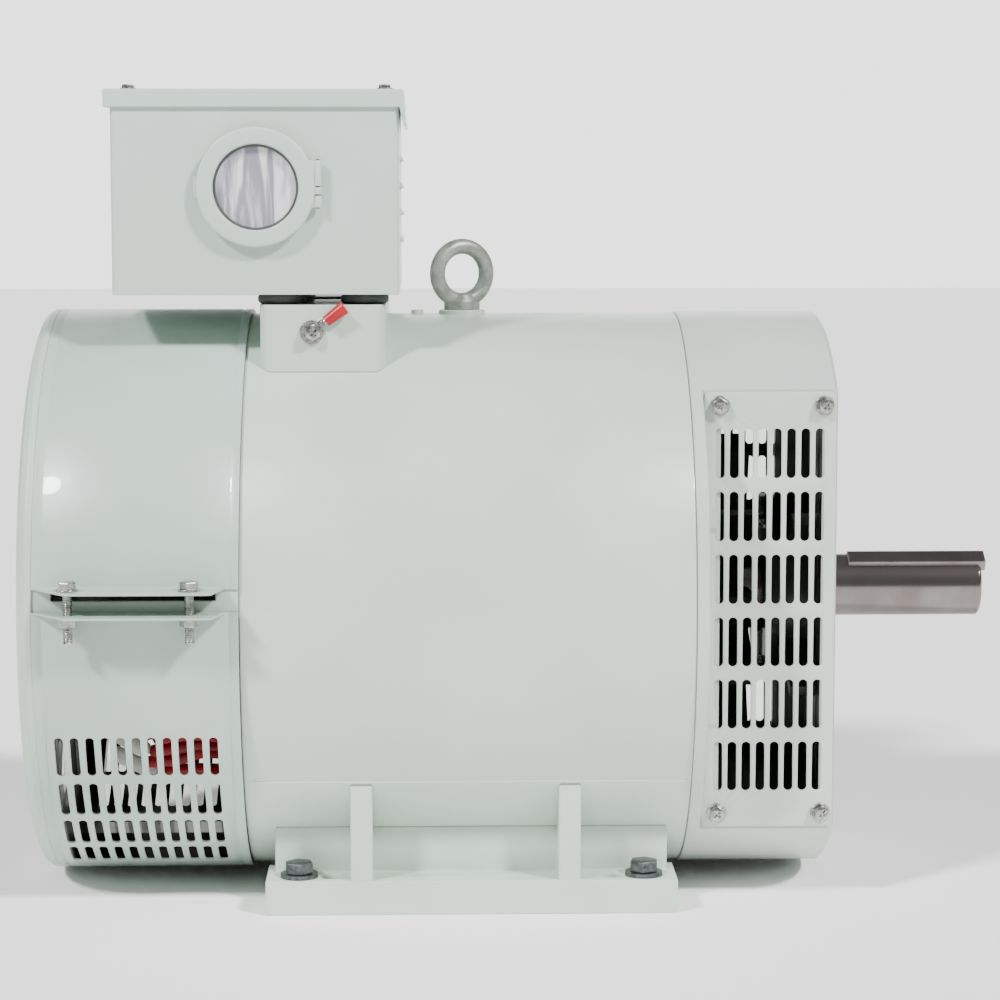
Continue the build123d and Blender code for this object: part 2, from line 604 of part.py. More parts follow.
def make_window_ring():
    """Bezel ring of the meter window, with two hinge knuckles and a finger lip."""
    front, back = -BOX_Y - WINDOW_PROUD, -BOX_Y - GAP
    ring = bar_y(WINDOW_R, front, back, WINDOW_X, WINDOW_Z)
    ring = chamfer(ring.edges().group_by(Axis.Y)[0], 2.0)
    lip = block(WINDOW_X - WINDOW_R - 2, WINDOW_X - WINDOW_R + 6, front + 1.5, back, WINDOW_Z - 8, WINDOW_Z + 8)
    ring += lip
    for low, high in KNUCKLES[:2]:
        ring += bar_z(2.4, WINDOW_Z + low, WINDOW_Z + high, HINGE_X, HINGE_Y)
        ring += block(HINGE_X - 7, HINGE_X, HINGE_Y - 1.2, HINGE_Y + 1.2, WINDOW_Z + low, WINDOW_Z + high)
    ring -= bar_y(WINDOW_HOLE_R, front - 1, back + 1, WINDOW_X, WINDOW_Z)
    ring -= bar_y(WINDOW_HOLE_R + 3, back - 2.0, back + 1, WINDOW_X, WINDOW_Z)
    ring -= bar_z(1.2, WINDOW_Z - 30, WINDOW_Z + 30, HINGE_X, HINGE_Y)
    low, high = KNUCKLES[2]
    ring -= block(HINGE_X - 3.4, HINGE_X + 5, -BOX_Y - 9, back + 1, WINDOW_Z + low - GAP, WINDOW_Z + high + GAP)
    return ring


KNUCKLES = ((0.4, 17.0), (-13.0, -5.2), (-4.6, -0.2))  # two of the ring, then the leaf's own


def make_hinge_leaf():
    """Small leaf on the box wall, with the middle knuckle."""
    low, high = KNUCKLES[2]
    leaf = block(HINGE_X + 2.9, HINGE_X + 9, -BOX_Y - 1.5, -BOX_Y, WINDOW_Z - 12, WINDOW_Z + 12)
    leaf += block(HINGE_X, HINGE_X + 4, HINGE_Y - 1.2, -BOX_Y, WINDOW_Z + low, WINDOW_Z + high)
    leaf += bar_z(2.4, WINDOW_Z + low, WINDOW_Z + high, HINGE_X, HINGE_Y)
    leaf -= bar_z(1.2, WINDOW_Z - 30, WINDOW_Z + 30, HINGE_X, HINGE_Y)
    return leaf


def make_meter():
    """Round panel meter behind the window: flanged case and dial."""
    face_y = -BOX_Y + SHEET
    case = bar_y(37.0, face_y, face_y + 3, WINDOW_X, WINDOW_Z)
    case += bar_y(32.0, face_y, face_y + 42, WINDOW_X, WINDOW_Z)
    case -= bar_y(29.5, face_y - 1, face_y + 9, WINDOW_X, WINDOW_Z)
    dial = bar_y(29.5, face_y + 7.5, face_y + 9, WINDOW_X, WINDOW_Z)
    return case, dial


BOARD_X, BOARD_Y = (-190.0, -70.0), (20.0, 64.0)


def make_terminal_board():
    """Insulating board on two feet, with its studs and the excitation rectifier."""
    z0 = BOX_Z[0] + SHEET
    top = z0 + 24
    board = block(BOARD_X[0], BOARD_X[1], BOARD_Y[0], BOARD_Y[1], top - 8, top)
    for x0 in (BOARD_X[0], BOARD_X[1] - 10):
        board += block(x0, x0 + 10, BOARD_Y[0] + 4, BOARD_Y[1] - 4, z0, top - 8)
    studs = []
    for i in range(6):
        x = BOARD_X[0] + 20 + i * 16
        y = (BOARD_Y[0] + BOARD_Y[1]) / 2
        board -= bar_z(4.0, top - 10, top + 1, x, y)
        nut = Pos(x, y, top) * extrude(RegularPolygon(6.0, 6, major_radius=False), 6)
        studs.append(nut + bar_z(4.0, top - 8, top + 18, x, y))
    rectifier = block(-200, -170, -30, 0, z0, z0 + 12)
    for i in range(4):
        rectifier += block(-197 + i * 7, -196 + i * 7, -18, -12, z0 + 11, z0 + 20)
    return board, Part() + studs, rectifier


# ---------------------------------------------------------------- brush gear and leads
def make_brush(x):
    """Carbon brush that is hollowed to the slip ring and slides in its box."""
    half_x, half_y = BRUSH_SIZE[0] / 2, BRUSH_SIZE[1] / 2
    brush = block(x - half_x, x + half_x, -half_y, half_y, AXIS_Z + 34, AXIS_Z + BRUSH_TOP)
    return brush - bar_x(RING_R + GAP, x - 20, x + 20)


def make_brush_holder():
    """Two brush boxes on a bridge that is bolted to the rear bracket's end wall."""
    half_x, half_y = BRUSH_SIZE[0] / 2, BRUSH_SIZE[1] / 2
    wall = BRUSH_BOX_WALL
    top = AXIS_Z + SPRING_TOP
    holder = block(REAR_X + 9, BRUSH_X[1] + half_x + wall, -10, 10, top, top + 8)
    for x in BRUSH_X:
        holder += block(x - half_x - wall, x + half_x + wall, -half_y - wall, half_y + wall, AXIS_Z + 47, top + 4)
        holder -= block(x - half_x - GAP, x + half_x + GAP, -half_y - GAP, half_y + GAP, AXIS_Z + 40, top)
    return holder


def make_brush_spring(x):
    """Coil spring above a brush, as the sleeve that its turns fill."""
    z0, z1 = AXIS_Z + BRUSH_TOP, AXIS_Z + SPRING_TOP
    return bar_z(5.0, z0, z1, x, 0) - bar_z(3.4, z0 - 1, z1 + 1, x, 0)


LEAD_R = 3.4


def lead(points, radii):
    """An insulated lead along straight runs with tangent bends."""
    path = FilletPolyline(*points, radius=radii)
    profile = Plane(origin=path @ 0, z_dir=path % 0) * Circle(LEAD_R)
    return sweep(profile, path=path)


def polar(x, radius, angle):
    """A point by its distance from the shaft axis and its angle above the -Y side."""
    a = radians(angle)
    return (x, -radius * cos(a), AXIS_Z + radius * sin(a))


def make_leads():
    """Three red field leads low inside the rear bracket, and the pale sleeves on their ends."""
    leads, sleeves = [], []
    for i in range(3):
        low = -46.0 + 8 * i
        points = [
            polar(-117, 140, low - 14),
            polar(-147, 142, low - 11),
            polar(-171 - 3 * i, 152, low - 4),
            polar(-190 - 3 * i, 158, low + 5),
            polar(-210 - 3 * i, 156, low + 12),
        ]
        leads.append(lead(points, 16.0))
        end, before = Vector(*points[-1]), Vector(*points[-2])
        plane = Plane(origin=end, z_dir=(end - before).normalized())
        sleeves.append(extrude(plane * Circle(4.6), 22))
    leads = Part() + leads
    return leads, Part() + sleeves - leads


# ---------------------------------------------------------------- fasteners
def make_grille_screws():
    """Four hexagon screws in the corners of each grille."""
    seat_y = FLAT_Y + GRILLE_SHEET
    screw = hex_screw(3.0, 12.0, 10.0, 4.0, 6.4, 1.2)
    screws = []
    for x in GRILLE_SCREW_X:
        for z in (-GRILLE_SCREW_Z, GRILLE_SCREW_Z):
            screws.append(Pos(x, -seat_y, AXIS_Z + z) * FACE_FRONT * screw)
            screws.append(Pos(x, seat_y, AXIS_Z + z) * FACE_BACK * screw)
    return Part() + screws


def make_bracket_bolts():
    """The screws that hold the two end brackets to the shell's lugs."""
    drive = [Pos(COLLAR_X1, y, z) * FACE_DRIVE * hex_screw(4.0, 26, 13, 5.5) for y, z in lug_places()]
    rear_seat = SHELL_X0 - 14
    rear = [Pos(rear_seat, y, z) * FACE_REAR * hex_screw(4.0, 30, 13, 5.5) for y, z in lug_places()]
    return Part() + drive + rear


def make_band_fasteners():
    """Bolts through the flange pairs of the rear cover, and their nuts."""
    top = AXIS_Z + BAND_SPLIT_TOP + BAND_SHEET
    under = AXIS_Z + BAND_SPLIT_LOW - BAND_SHEET
    bolts, nuts = [], []
    nut = Pos(0, 0, -6.6) * extrude(RegularPolygon(5.0, 6, major_radius=False), 5.0)
    nut += Pos(0, 0, -0.8) * Cylinder(6.2, 1.6)
    nut -= Cylinder(3.0, 30)
    for x in BAND_BOLT_X:
        for y in (-BAND_BOLT_Y, BAND_BOLT_Y):
            bolts.append(Pos(x, y, top) * hex_screw(3.0, top - under + 16, 10, 4.0, 6.2, 1.6))
            nuts.append(Pos(x, y, under) * nut)
    return Part() + bolts, Part() + nuts


def make_hold_down():
    """Foot bolts and the plain washers under their heads."""
    washer_h = 2.5
    washer = Pos(0, 0, washer_h / 2) * (Cylinder(12.0, washer_h) - Cylinder(6.5, 9))
    bolt = hex_screw(6.0, 20.0, 18.0, 7.5)
    bolts, washers = [], []
    for x in (-BOLT_X, BOLT_X):
        for y in (-BOLT_Y, BOLT_Y):
            washers.append(Pos(x, y, FOOT_H) * washer)
            bolts.append(Pos(x, y, FOOT_H + washer_h) * bolt)
    return Part() + bolts, Part() + washers


def make_eye_bolt():
    """Forged lifting eye, turned a little out of line with the shaft."""
    seat = AXIS_Z + SHELL_R + 2.5
    middle = AXIS_Z + 211.3
    eye = Pos(-4.0, 0, middle) * Rot(0, 0, 25) * Rot(90, 0, 0) * Torus(18.1, 5.1)
    eye += bar_z(12.0, seat, seat + 5.5, -4.0, 0)
    neck = make_face(Polyline((0, 0), (11, 0), (7, 6), (0, 6), close=True))
    eye += Pos(-4.0, 0, seat + 4) * revolve(Plane.XZ * neck, Axis.Z, 360)
    eye += bar_z(5.0, seat - 10.8, seat + 1, -4.0, 0)
    return eye


def make_rubber_mounts():
    """Four bonded rubber discs between the pedestal and the box."""
    height = BOX_Z[0] - PED_TOP
    mounts = []
    for x in MOUNT_X:
        for y in (-MOUNT_Y, MOUNT_Y):
            disc = Cylinder(15.5, height)
            disc = chamfer(disc.edges().filter_by(GeomType.CIRCLE), 1.6) - Cylinder(4.0, 20)
            mounts.append(Pos(x, y, PED_TOP + height / 2) * disc)
    return Part() + mounts


def make_box_bolts():
    """Bolts from inside the box, through the rubber, into the pedestal."""
    seat = BOX_Z[0] + SHEET
    bolt = hex_screw(4.0, 24.0, 13.0, 5.5)
    return Part() + [Pos(x, y, seat) * bolt for x in MOUNT_X for y in (-MOUNT_Y, MOUNT_Y)]


def make_lid_screws():
    """Domed screws through the lid into the corner tabs."""
    screw = pan_screw(2.5, LID_TOP - BOX_Z[1] + 5, 5.2, 3.0)
    return Part() + [Pos(x, y, LID_TOP) * screw for x in LID_SCREW_X for y in (-LID_SCREW_Y, LID_SCREW_Y)]


def make_rear_cover():
    """Small round cap over the rear bearing, and its three screws."""
    cap = turned((REAR_X - 5, 0), (REAR_X - 5, 42), (REAR_X - 3, 44), (REAR_X, 44), (REAR_X, 29.5),
                 (REAR_X + 4, 29.5), (REAR_X + 4, 24), (REAR_X - 1, 24), (REAR_X - 1, 0))
    screws = []
    for i in range(3):
        cap -= about_axis(i * 120) * bar_x(2.5, REAR_X - 8, REAR_X + 6, 0, AXIS_Z + 39)
        screws.append(about_axis(i * 120) * Pos(REAR_X - 5, 0, AXIS_Z + 39) * FACE_REAR
                      * hex_screw(2.5, 13, 8, 3.5))
    return cap, Part() + screws


def make_drive_cap():
    """Inner bearing cap of the drive end, with its screws."""
    x0 = DRIVE_BEARING[2] - 7
    cap = ring_x(62.0, SHAFT_CORE_R + 2, x0, DRIVE_BEARING[2])
    screws = []
    for i in range(3):
        cap -= about_axis(i * 120 + 30) * bar_x(2.5, x0 - 1, x0 + 10, 0, AXIS_Z + 56)
        screws.append(about_axis(i * 120 + 30) * Pos(x0, 0, AXIS_Z + 56) * FACE_REAR
                      * hex_screw(2.5, 18, 8, 3.5))
    return cap, Part() + screws


# ---------------------------------------------------------------- the whole assembly
def build_parts():
    """Every sub-part of the machine by its name."""
    parts = {
        "stator_shell": make_stator_shell(),
        "stator_core": make_stator_core(),
        "stator_windings": make_stator_windings(),
        "box_pedestal": make_pedestal(),
        "rear_end_bracket": make_rear_bracket(),
        "drive_end_bracket": make_drive_bracket(),
        "upper_cover_band": make_band_half(True),
        "lower_cover_band": make_lower_band(),
        "rotor_shaft": make_shaft(),
        "shaft_key": make_key(),
        "rotor_core": make_rotor_core(),
        "field_coils": make_field_coils(),
        "cooling_fan": make_fan(),
        "slip_ring_hub": make_slip_ring_hub(),
        "slip_rings": make_slip_rings(),
        "terminal_box": make_terminal_box(),
        "box_lid": make_lid(),
        "window_ring": make_window_ring(),
        "window_pane": bar_y(WINDOW_HOLE_R + 3, -BOX_Y - GAP - 2.0, -BOX_Y - GAP - 0.5, WINDOW_X, WINDOW_Z),
        "window_hinge_leaf": make_hinge_leaf(),
        "window_hinge_pin": bar_z(1.2, WINDOW_Z - 13.5, WINDOW_Z + 17.5, HINGE_X, HINGE_Y),
        "brush_holder": make_brush_holder(),
        "eye_bolt": make_eye_bolt(),
        "rubber_mounts": make_rubber_mounts(),
        "box_mount_bolts": make_box_bolts(),
        "lid_screws": make_lid_screws(),
        "grille_screws": make_grille_screws(),
        "bracket_bolts": make_bracket_bolts(),
    }
    foot, grille = make_foot(), make_grille()
    parts["foot_front"], parts["foot_back"] = foot, mirror(foot, about=Plane.XZ)
    parts["grille_front"], parts["grille_back"] = grille, mirror(grille, about=Plane.XZ)
    for name, size in (("drive_bearing", DRIVE_BEARING), ("rear_bearing", REAR_BEARING)):
        outer, inner, balls = make_bearing(*size)
        parts[f"{name}_outer_ring"] = outer
        parts[f"{name}_inner_ring"] = inner
        parts[f"{name}_balls"] = balls
    for name, x in zip(("a", "b"), BRUSH_X):
        parts[f"carbon_brush_{name}"] = make_brush(x)
        parts[f"brush_spring_{name}"] = make_brush_spring(x)
    groups = {
        ("ground_screw", "ground_washer", "ground_lug", "ground_lug_sleeve"): make_ground_parts(),
        ("meter_case", "meter_dial"): make_meter(),
        ("terminal_board", "terminal_studs", "bridge_rectifier"): make_terminal_board(),
        ("field_leads", "lead_sleeves"): make_leads(),
        ("band_bolts", "band_nuts"): make_band_fasteners(),
        ("hold_down_bolts", "hold_down_washers"): make_hold_down(),
    }
    for names, made in groups.items():
        parts.update(zip(names, made))
    parts["rear_bearing_cover"], rear_screws = make_rear_cover()
    parts["drive_bearing_cap"], drive_screws = make_drive_cap()
    parts["bearing_cover_screws"] = rear_screws + drive_screws
    return parts


os.makedirs("parts", exist_ok=True)
for part_name, shape in build_parts().items():
    export_step(shape, f"parts/{part_name}.step")
    print(part_name, len(shape.solids()))
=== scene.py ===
# %% [markdown]
# # A brush-type generator head, finished piece by piece
# The construction of this machine is already in the frame: every casting, sheet and shaft at its real
# size. This lesson dresses it. Each cell names the real piece or finish, says how it could be made in
# Blender, and why this way was chosen. Lengths are in metres, and +X runs along the shaft.

# %% Load the construction
from math import cos, pi, radians, sin

import bpy
from mathutils import Euler, Matrix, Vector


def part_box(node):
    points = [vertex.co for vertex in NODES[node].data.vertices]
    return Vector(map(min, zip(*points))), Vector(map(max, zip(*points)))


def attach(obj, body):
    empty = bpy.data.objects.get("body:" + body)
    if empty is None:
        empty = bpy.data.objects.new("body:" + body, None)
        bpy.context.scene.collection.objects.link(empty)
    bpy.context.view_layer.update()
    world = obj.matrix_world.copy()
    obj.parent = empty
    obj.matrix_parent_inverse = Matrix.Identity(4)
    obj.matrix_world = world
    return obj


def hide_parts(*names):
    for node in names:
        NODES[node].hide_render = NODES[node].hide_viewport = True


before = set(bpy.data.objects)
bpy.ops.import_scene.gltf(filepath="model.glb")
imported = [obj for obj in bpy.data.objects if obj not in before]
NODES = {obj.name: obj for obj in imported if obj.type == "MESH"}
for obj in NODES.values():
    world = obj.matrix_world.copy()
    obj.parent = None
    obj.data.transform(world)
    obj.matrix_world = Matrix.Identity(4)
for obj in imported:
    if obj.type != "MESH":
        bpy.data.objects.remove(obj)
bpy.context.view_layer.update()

print("nodes in the frame:", len(NODES))

# %% [markdown]
# ## Sizes read from the frame
# The shaft height comes from the stator core's box, the cover's length from the cover, and so on. A box
# gives the lowest and highest corner of one node. Sizes of small details are named in their own cells.

# %% Main sizes
MM = 0.001
TINY = 1e-5  # places closer than this count as the same


def span(node, axis):
    """The lowest and highest coordinate of a node along one axis (0 is X, 1 is Y, 2 is Z)."""
    low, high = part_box(node)
    return low[axis], high[axis]


def middle(node, axis):
    """The middle of a node along one axis."""
    low, high = span(node, axis)
    return (low + high) / 2


AXIS_Z = middle("stator_core", 2)
SHELL_X0, SHELL_X1 = span("stator_shell", 0)
SHELL_R = -span("stator_shell", 1)[0]
BAND_X0, BAND_X1 = span("lower_cover_band", 0)
BAND_R = AXIS_Z - span("lower_cover_band", 2)[0]
SHEET = 1.5 * MM
print("shaft height", round(AXIS_Z, 4), "frame radius", round(SHELL_R, 4))

# %% [markdown]
# ## Small helpers for modelling
# Every new piece starts as a primitive, is shaped in edit mode and is finished with modifiers that are
# applied. An operator acts on whatever is selected, so a helper clears the selection first, and another
# selects faces or edges by their place.

# %% Modelling helpers
ops = bpy.ops


def start(kind, name, **settings):
    """Adds one primitive by itself and names it."""
    ops.object.select_all(action="DESELECT")
    getattr(ops.mesh, f"primitive_{kind}_add")(**settings)
    piece = bpy.context.object
    piece.name = name
    piece.data.name = name
    ops.object.transform_apply(location=True, rotation=True, scale=True)
    return piece


def wake(piece):
    """Makes a piece the only one selected, and active."""
    ops.object.select_all(action="DESELECT")
    piece.select_set(True)
    bpy.context.view_layer.objects.active = piece


def pick(piece, kind, test):
    """Enters edit mode with only the vertices, edges or faces selected that pass a test on their place."""
    wake(piece)
    ops.object.mode_set(mode="EDIT")
    ops.mesh.select_mode(type=kind)
    ops.mesh.select_all(action="DESELECT")
    ops.object.mode_set(mode="OBJECT")
    mesh = piece.data
    if kind == "VERT":
        for v in mesh.vertices:
            v.select = test(v.co)
    elif kind == "EDGE":
        for e in mesh.edges:
            a, b = (mesh.vertices[i].co for i in e.vertices)
            e.select = test(a, b)
    else:
        for f in mesh.polygons:
            f.select = test(f.center, f.normal)
    ops.object.mode_set(mode="EDIT")


def done():
    """Leaves edit mode."""
    ops.object.mode_set(mode="OBJECT")


def finish_with(piece, kind, **settings):
    """Adds one modifier, sets it and applies it."""
    wake(piece)
    modifier = piece.modifiers.new(kind.lower(), kind)
    for key, value in settings.items():
        setattr(modifier, key, value)
    ops.object.modifier_apply(modifier=modifier.name)


def soften(piece, width, angle=35, segments=2):
    """Rounds the sharp edges a little and smooths the shading over the round ones."""
    finish_with(piece, "BEVEL", width=width, segments=segments, limit_method="ANGLE",
                angle_limit=radians(angle), harden_normals=False)
    smooth(piece, angle)


def smooth(piece, angle=35):
    """Smooth shading, apart from edges sharper than the angle."""
    wake(piece)
    ops.object.shade_smooth_by_angle(angle=radians(angle), keep_sharp_edges=False)


def cut(piece, cutter):
    """Takes the cutter's shape out of the piece, and the cutter away."""
    finish_with(piece, "BOOLEAN", object=cutter, operation="DIFFERENCE", solver="EXACT")
    bpy.data.objects.remove(cutter, do_unlink=True)


def join(pieces):
    """Makes several pieces one object, named as the first."""
    wake(pieces[0])
    for piece in pieces:
        piece.select_set(True)
    if len(pieces) > 1:
        ops.object.join()
    return bpy.context.object


def spot(x, y, z, turn=(0, 0, 0)):
    """A place and a turn in degrees, as one matrix."""
    return Matrix.Translation((x, y, z)) @ Euler([radians(a) for a in turn]).to_matrix().to_4x4()


def about_shaft(degrees):
    """A turn about the shaft axis, as a matrix."""
    up = Matrix.Translation((0, 0, AXIS_Z))
    return up @ Matrix.Rotation(radians(degrees), 4, "X") @ up.inverted()


def copies(piece, spots):
    """One object made of a copy of the piece at every spot; the first piece goes away."""
    made = []
    for matrix in spots:
        twin = piece.copy()
        twin.data = piece.data.copy()
        twin.data.transform(matrix)
        bpy.context.collection.objects.link(twin)
        made.append(twin)
    bpy.data.objects.remove(piece, do_unlink=True)
    return join(made)


def mirrored(piece, name):
    """The piece's twin on the far side of the middle plane, its faces turned outwards again."""
    wake(piece)
    ops.object.duplicate()
    twin = bpy.context.object
    twin.name = name
    twin.data.name = name
    twin.data.transform(Matrix.Scale(-1, 4, (0, 1, 0)))
    ops.object.mode_set(mode="EDIT")
    ops.mesh.select_all(action="SELECT")
    ops.mesh.flip_normals()
    done()
    return twin


# %% [markdown]
# ## Colour and node helpers
# Colours are written as the hex value that the eye sees and turned to linear light by one function.
# One more function adds a shader node, sets its values and makes its links.

# %% Material helpers
def colour(hex_text):
    """An sRGB hex colour as linear light."""
    parts = [int(hex_text[i:i + 2], 16) / 255 for i in (1, 3, 5)]
    linear = [c / 12.92 if c <= 0.04045 else ((c + 0.055) / 1.055) ** 2.4 for c in parts]
    return (*linear, 1.0)


def add(tree, kind, values=None, links=None, **attributes):
    """Adds one shader node with its attributes, its input values and its input links."""
    node = tree.nodes.new("ShaderNode" + kind)
    for key, value in attributes.items():
        setattr(node, key, value)
    for key, value in (values or {}).items():
        node.inputs[key].default_value = value
    for key, socket in (links or {}).items():
        tree.links.new(socket, node.inputs[key])
    return node


def new_material(name, **shader):
    """A material with one principled shader, and its tree, shader and object coordinates."""
    material = bpy.data.materials.new(name)
    material.use_nodes = True
    tree = material.node_tree
    bsdf = next(n for n in tree.nodes if n.type == "BSDF_PRINCIPLED")
    for key, value in shader.items():
        bsdf.inputs[key.replace("_", " ")].default_value = value
    place = add(tree, "TexCoord").outputs["Object"]
    return material, tree, bsdf, place


def blotch(tree, place, size_mm, detail=3.0, rough=0.5):
    """A soft noise whose patches are about the given size."""
    return add(tree, "TexNoise", {"Scale": 1000.0 / size_mm, "Detail": detail, "Roughness": rough},
               {"Vector": place}).outputs["Fac"]


def ramp(tree, fac, low, high, dark, light):
    """A colour ramp from dark to light between two positions."""
    node = add(tree, "ValToRGB", links={"Fac": fac})
    node.color_ramp.elements[0].position = low
    node.color_ramp.elements[0].color = dark
    node.color_ramp.elements[1].position = high
    node.color_ramp.elements[1].color = light
    return node.outputs["Color"]


def scaled(tree, fac, low, high):
    """A value from 0 to 1 spread over a new range."""
    return add(tree, "MapRange", {"To Min": low, "To Max": high}, {"Value": fac}).outputs["Result"]


def emboss(tree, bsdf, height, depth_mm, edge_mm=0.0):
    """Bump of a real depth, with sharp edges shaded as if rounded by the given radius."""
    links = {"Height": height}
    if edge_mm:
        edge = add(tree, "Bevel", {"Radius": edge_mm * MM}, samples=6)
        links["Normal"] = edge.outputs["Normal"]
    bump = add(tree, "Bump", {"Strength": 1.0, "Distance": depth_mm * MM}, links)
    tree.links.new(bump.outputs["Normal"], bsdf.inputs["Normal"])


def calc(tree, operation, first, second=0.0):
    """One sum on two values, each a number or a socket."""
    node = add(tree, "Math", operation=operation)
    for socket, value in zip(node.inputs, (first, second)):
        if isinstance(value, (int, float)):
            socket.default_value = value
        else:
            tree.links.new(value, socket)
    return node.outputs[0]


def inner_shade_zone(tree, place, radius, half_width, x0, x1, top=1.0):
    """1 within a radius of the shaft axis, two side planes, two ends and below a height, else 0."""
    parts = add(tree, "SeparateXYZ", links={"Vector": place})
    x, y, height = (parts.outputs[axis] for axis in "XYZ")
    z = calc(tree, "SUBTRACT", height, AXIS_Z)
    far = calc(tree, "SQRT", calc(tree, "ADD", calc(tree, "MULTIPLY", y, y), calc(tree, "MULTIPLY", z, z)))
    inside = calc(tree, "LESS_THAN", far, radius)
    for part in (calc(tree, "LESS_THAN", calc(tree, "ABSOLUTE", y), half_width),
                 calc(tree, "GREATER_THAN", x, x0), calc(tree, "LESS_THAN", x, x1),
                 calc(tree, "LESS_THAN", height, top)):
        inside = calc(tree, "MULTIPLY", inside, part)
    return inside


# %% [markdown]
# ## Machine enamel
# The castings and sheets are sprayed with a pale grey-green alkyd enamel. It is satin, a little uneven in
# gloss, and over castings it keeps the sand texture below as a soft waviness. Sheet metal is flatter, so
# the same recipe gets a finer and shallower bump there.
# Inside the machine, where shade falls, the enamel gives way to painted shade: a near black colour.

# %% Enamel on castings and on sheet
# Painted shade: the near black that stands for the shade inside the machine, seen through slots and
# openings.
INSIDE_SHADE = "#23221F"


def enamel(name, pale, shade, grain_mm, depth_mm, roughness, edge_mm, shaded_zones=()):
    """Sprayed satin enamel: colour drift, uneven gloss, a soft wave, and painted shade, a near black, in
    zones inside the machine.
    """
    material, tree, bsdf, place = new_material(name, Roughness=roughness, Coat_Weight=0.2)
    drift = blotch(tree, place, 90.0, 4.0)
    paint = ramp(tree, drift, 0.35, 0.65, colour(shade), colour(pale))
    if shaded_zones:
        shade_zone_mask = 0.0
        for limits in shaded_zones:
            shade_zone_mask = calc(tree, "MAXIMUM", inner_shade_zone(tree, place, *limits), shade_zone_mask)
        # Within the zones, painted shade takes the place of the enamel's colour.
        mix = add(tree, "Mix", data_type="RGBA")
        tree.links.new(shade_zone_mask, mix.inputs[0])
        tree.links.new(paint, mix.inputs[6])
        mix.inputs[7].default_value = colour(INSIDE_SHADE)
        paint = mix.outputs[2]
    tree.links.new(paint, bsdf.inputs["Base Color"])
    gloss = blotch(tree, place, 14.0)
    tree.links.new(scaled(tree, gloss, roughness - 0.07, roughness + 0.09), bsdf.inputs["Roughness"])
    emboss(tree, bsdf, blotch(tree, place, grain_mm, 4.0, 0.55), depth_mm, edge_mm)
    return material


DRIVE_X1 = span("drive_end_bracket", 0)[1]
LOWER_TOP = span("lower_cover_band", 2)[1]
ALL = 1.0  # a limit that takes in the whole machine
# Where enamel gives way to painted shade inside the machine: radius, half width, both ends, and top if it
# isn't the whole height.
REAR_SHADE_ZONES = [(183 * MM, ALL, -0.278, 0.0), (187 * MM, ALL, BAND_X0 + 1 * MM, 0.0, LOWER_TOP - 4 * MM)]
DRIVE_SHADE_ZONES = [(180 * MM, 117.5 * MM, 0.0, DRIVE_X1 - 8 * MM)]
# Painted shade also goes on the inner faces of the cover bands and the grilles, which are seen through their
# slots.
COVER_SHADE_ZONES = [(BAND_R - 1.2 * MM, ALL, -ALL, ALL)]
GRILLE_SHADE_ZONES = [(ALL, 119.6 * MM, -ALL, ALL)]
# Each line: name, pale and shaded colour, grain and depth in mm, roughness, rounded edge in mm, zones of
# painted shade.
CASTING_ENAMEL = enamel("alkyd enamel on cast iron", "#C6D4C8", "#BECDC0", 5.0, 0.12, 0.36, 1.5)
FRAME_ENAMEL = enamel("alkyd enamel on rolled frame", "#C6D4C8", "#BECDC0", 7.0, 0.08, 0.34, 1.0)
REAR_ENAMEL = enamel("alkyd enamel on rear bracket", "#BFCDC2", "#B6C4B9", 5.0, 0.12, 0.38, 2.0,
                     REAR_SHADE_ZONES)
DRIVE_ENAMEL = enamel("alkyd enamel on drive end bracket", "#C3CCC5", "#BAC4BC", 5.0, 0.12, 0.36, 2.0,
                      DRIVE_SHADE_ZONES)
SHEET_ENAMEL = enamel("alkyd enamel on steel sheet", "#C4D2CB", "#BCCBC3", 9.0, 0.05, 0.34, 1.2)
COVER_ENAMEL = enamel("alkyd enamel on rolled cover", "#B5C6BD", "#ABBCB2", 9.0, 0.05, 0.32, 0.6,
                      COVER_SHADE_ZONES)
GRILLE_ENAMEL = enamel("pale enamel on punched grille", "#CBD2CB", "#C2C9C2", 8.0, 0.04, 0.40, 0.5,
                       GRILLE_SHADE_ZONES)
# Painted shade: the drive bearing cap, deep inside the drive end, takes the near black of the shade there.
SHADOW_PAINT = enamel("dark primer inside", INSIDE_SHADE, "#1B1A18", 6.0, 0.10, 0.6, 0.8)

# %% [markdown]
# ## Metals
# Bare metal is told by how it was cut. A turned shaft has fine rings round its axis, zinc plating is
# softly cloudy, and electrical steel shows the edges of its stacked sheets.

# %% Metal finishes
def turned_metal(name, bright, dull, pitch_mm, roughness, stain="#000000", stain_amount=0.0):
    """Lathe-turned metal: fine rings along the shaft, with stains where oil has dried."""
    material, tree, bsdf, place = new_material(name, Metallic=1.0, Roughness=roughness)
    axis = add(tree, "SeparateXYZ", links={"Vector": place}).outputs["X"]
    rings = add(tree, "CombineXYZ", links={"X": axis}).outputs["Vector"]
    fine = blotch(tree, rings, pitch_mm, 2.0)
    base = ramp(tree, fine, 0.3, 0.7, colour(dull), colour(bright))
    cloud = blotch(tree, place, 26.0, 5.0)
    patch = scaled(tree, cloud, -0.6, 1.4)
    mix = add(tree, "Mix", {"B": colour(stain)}, {"A": base}, data_type="RGBA")
    amount = add(tree, "Math", {1: stain_amount}, {0: patch}, operation="MULTIPLY", use_clamp=True)
    tree.links.new(amount.outputs[0], mix.inputs["Factor"])
    tree.links.new(mix.outputs["Result"], bsdf.inputs["Base Color"])
    tree.links.new(scaled(tree, cloud, roughness - 0.06, roughness + 0.14), bsdf.inputs["Roughness"])
    emboss(tree, bsdf, fine, 0.012, 0.5)
    return material


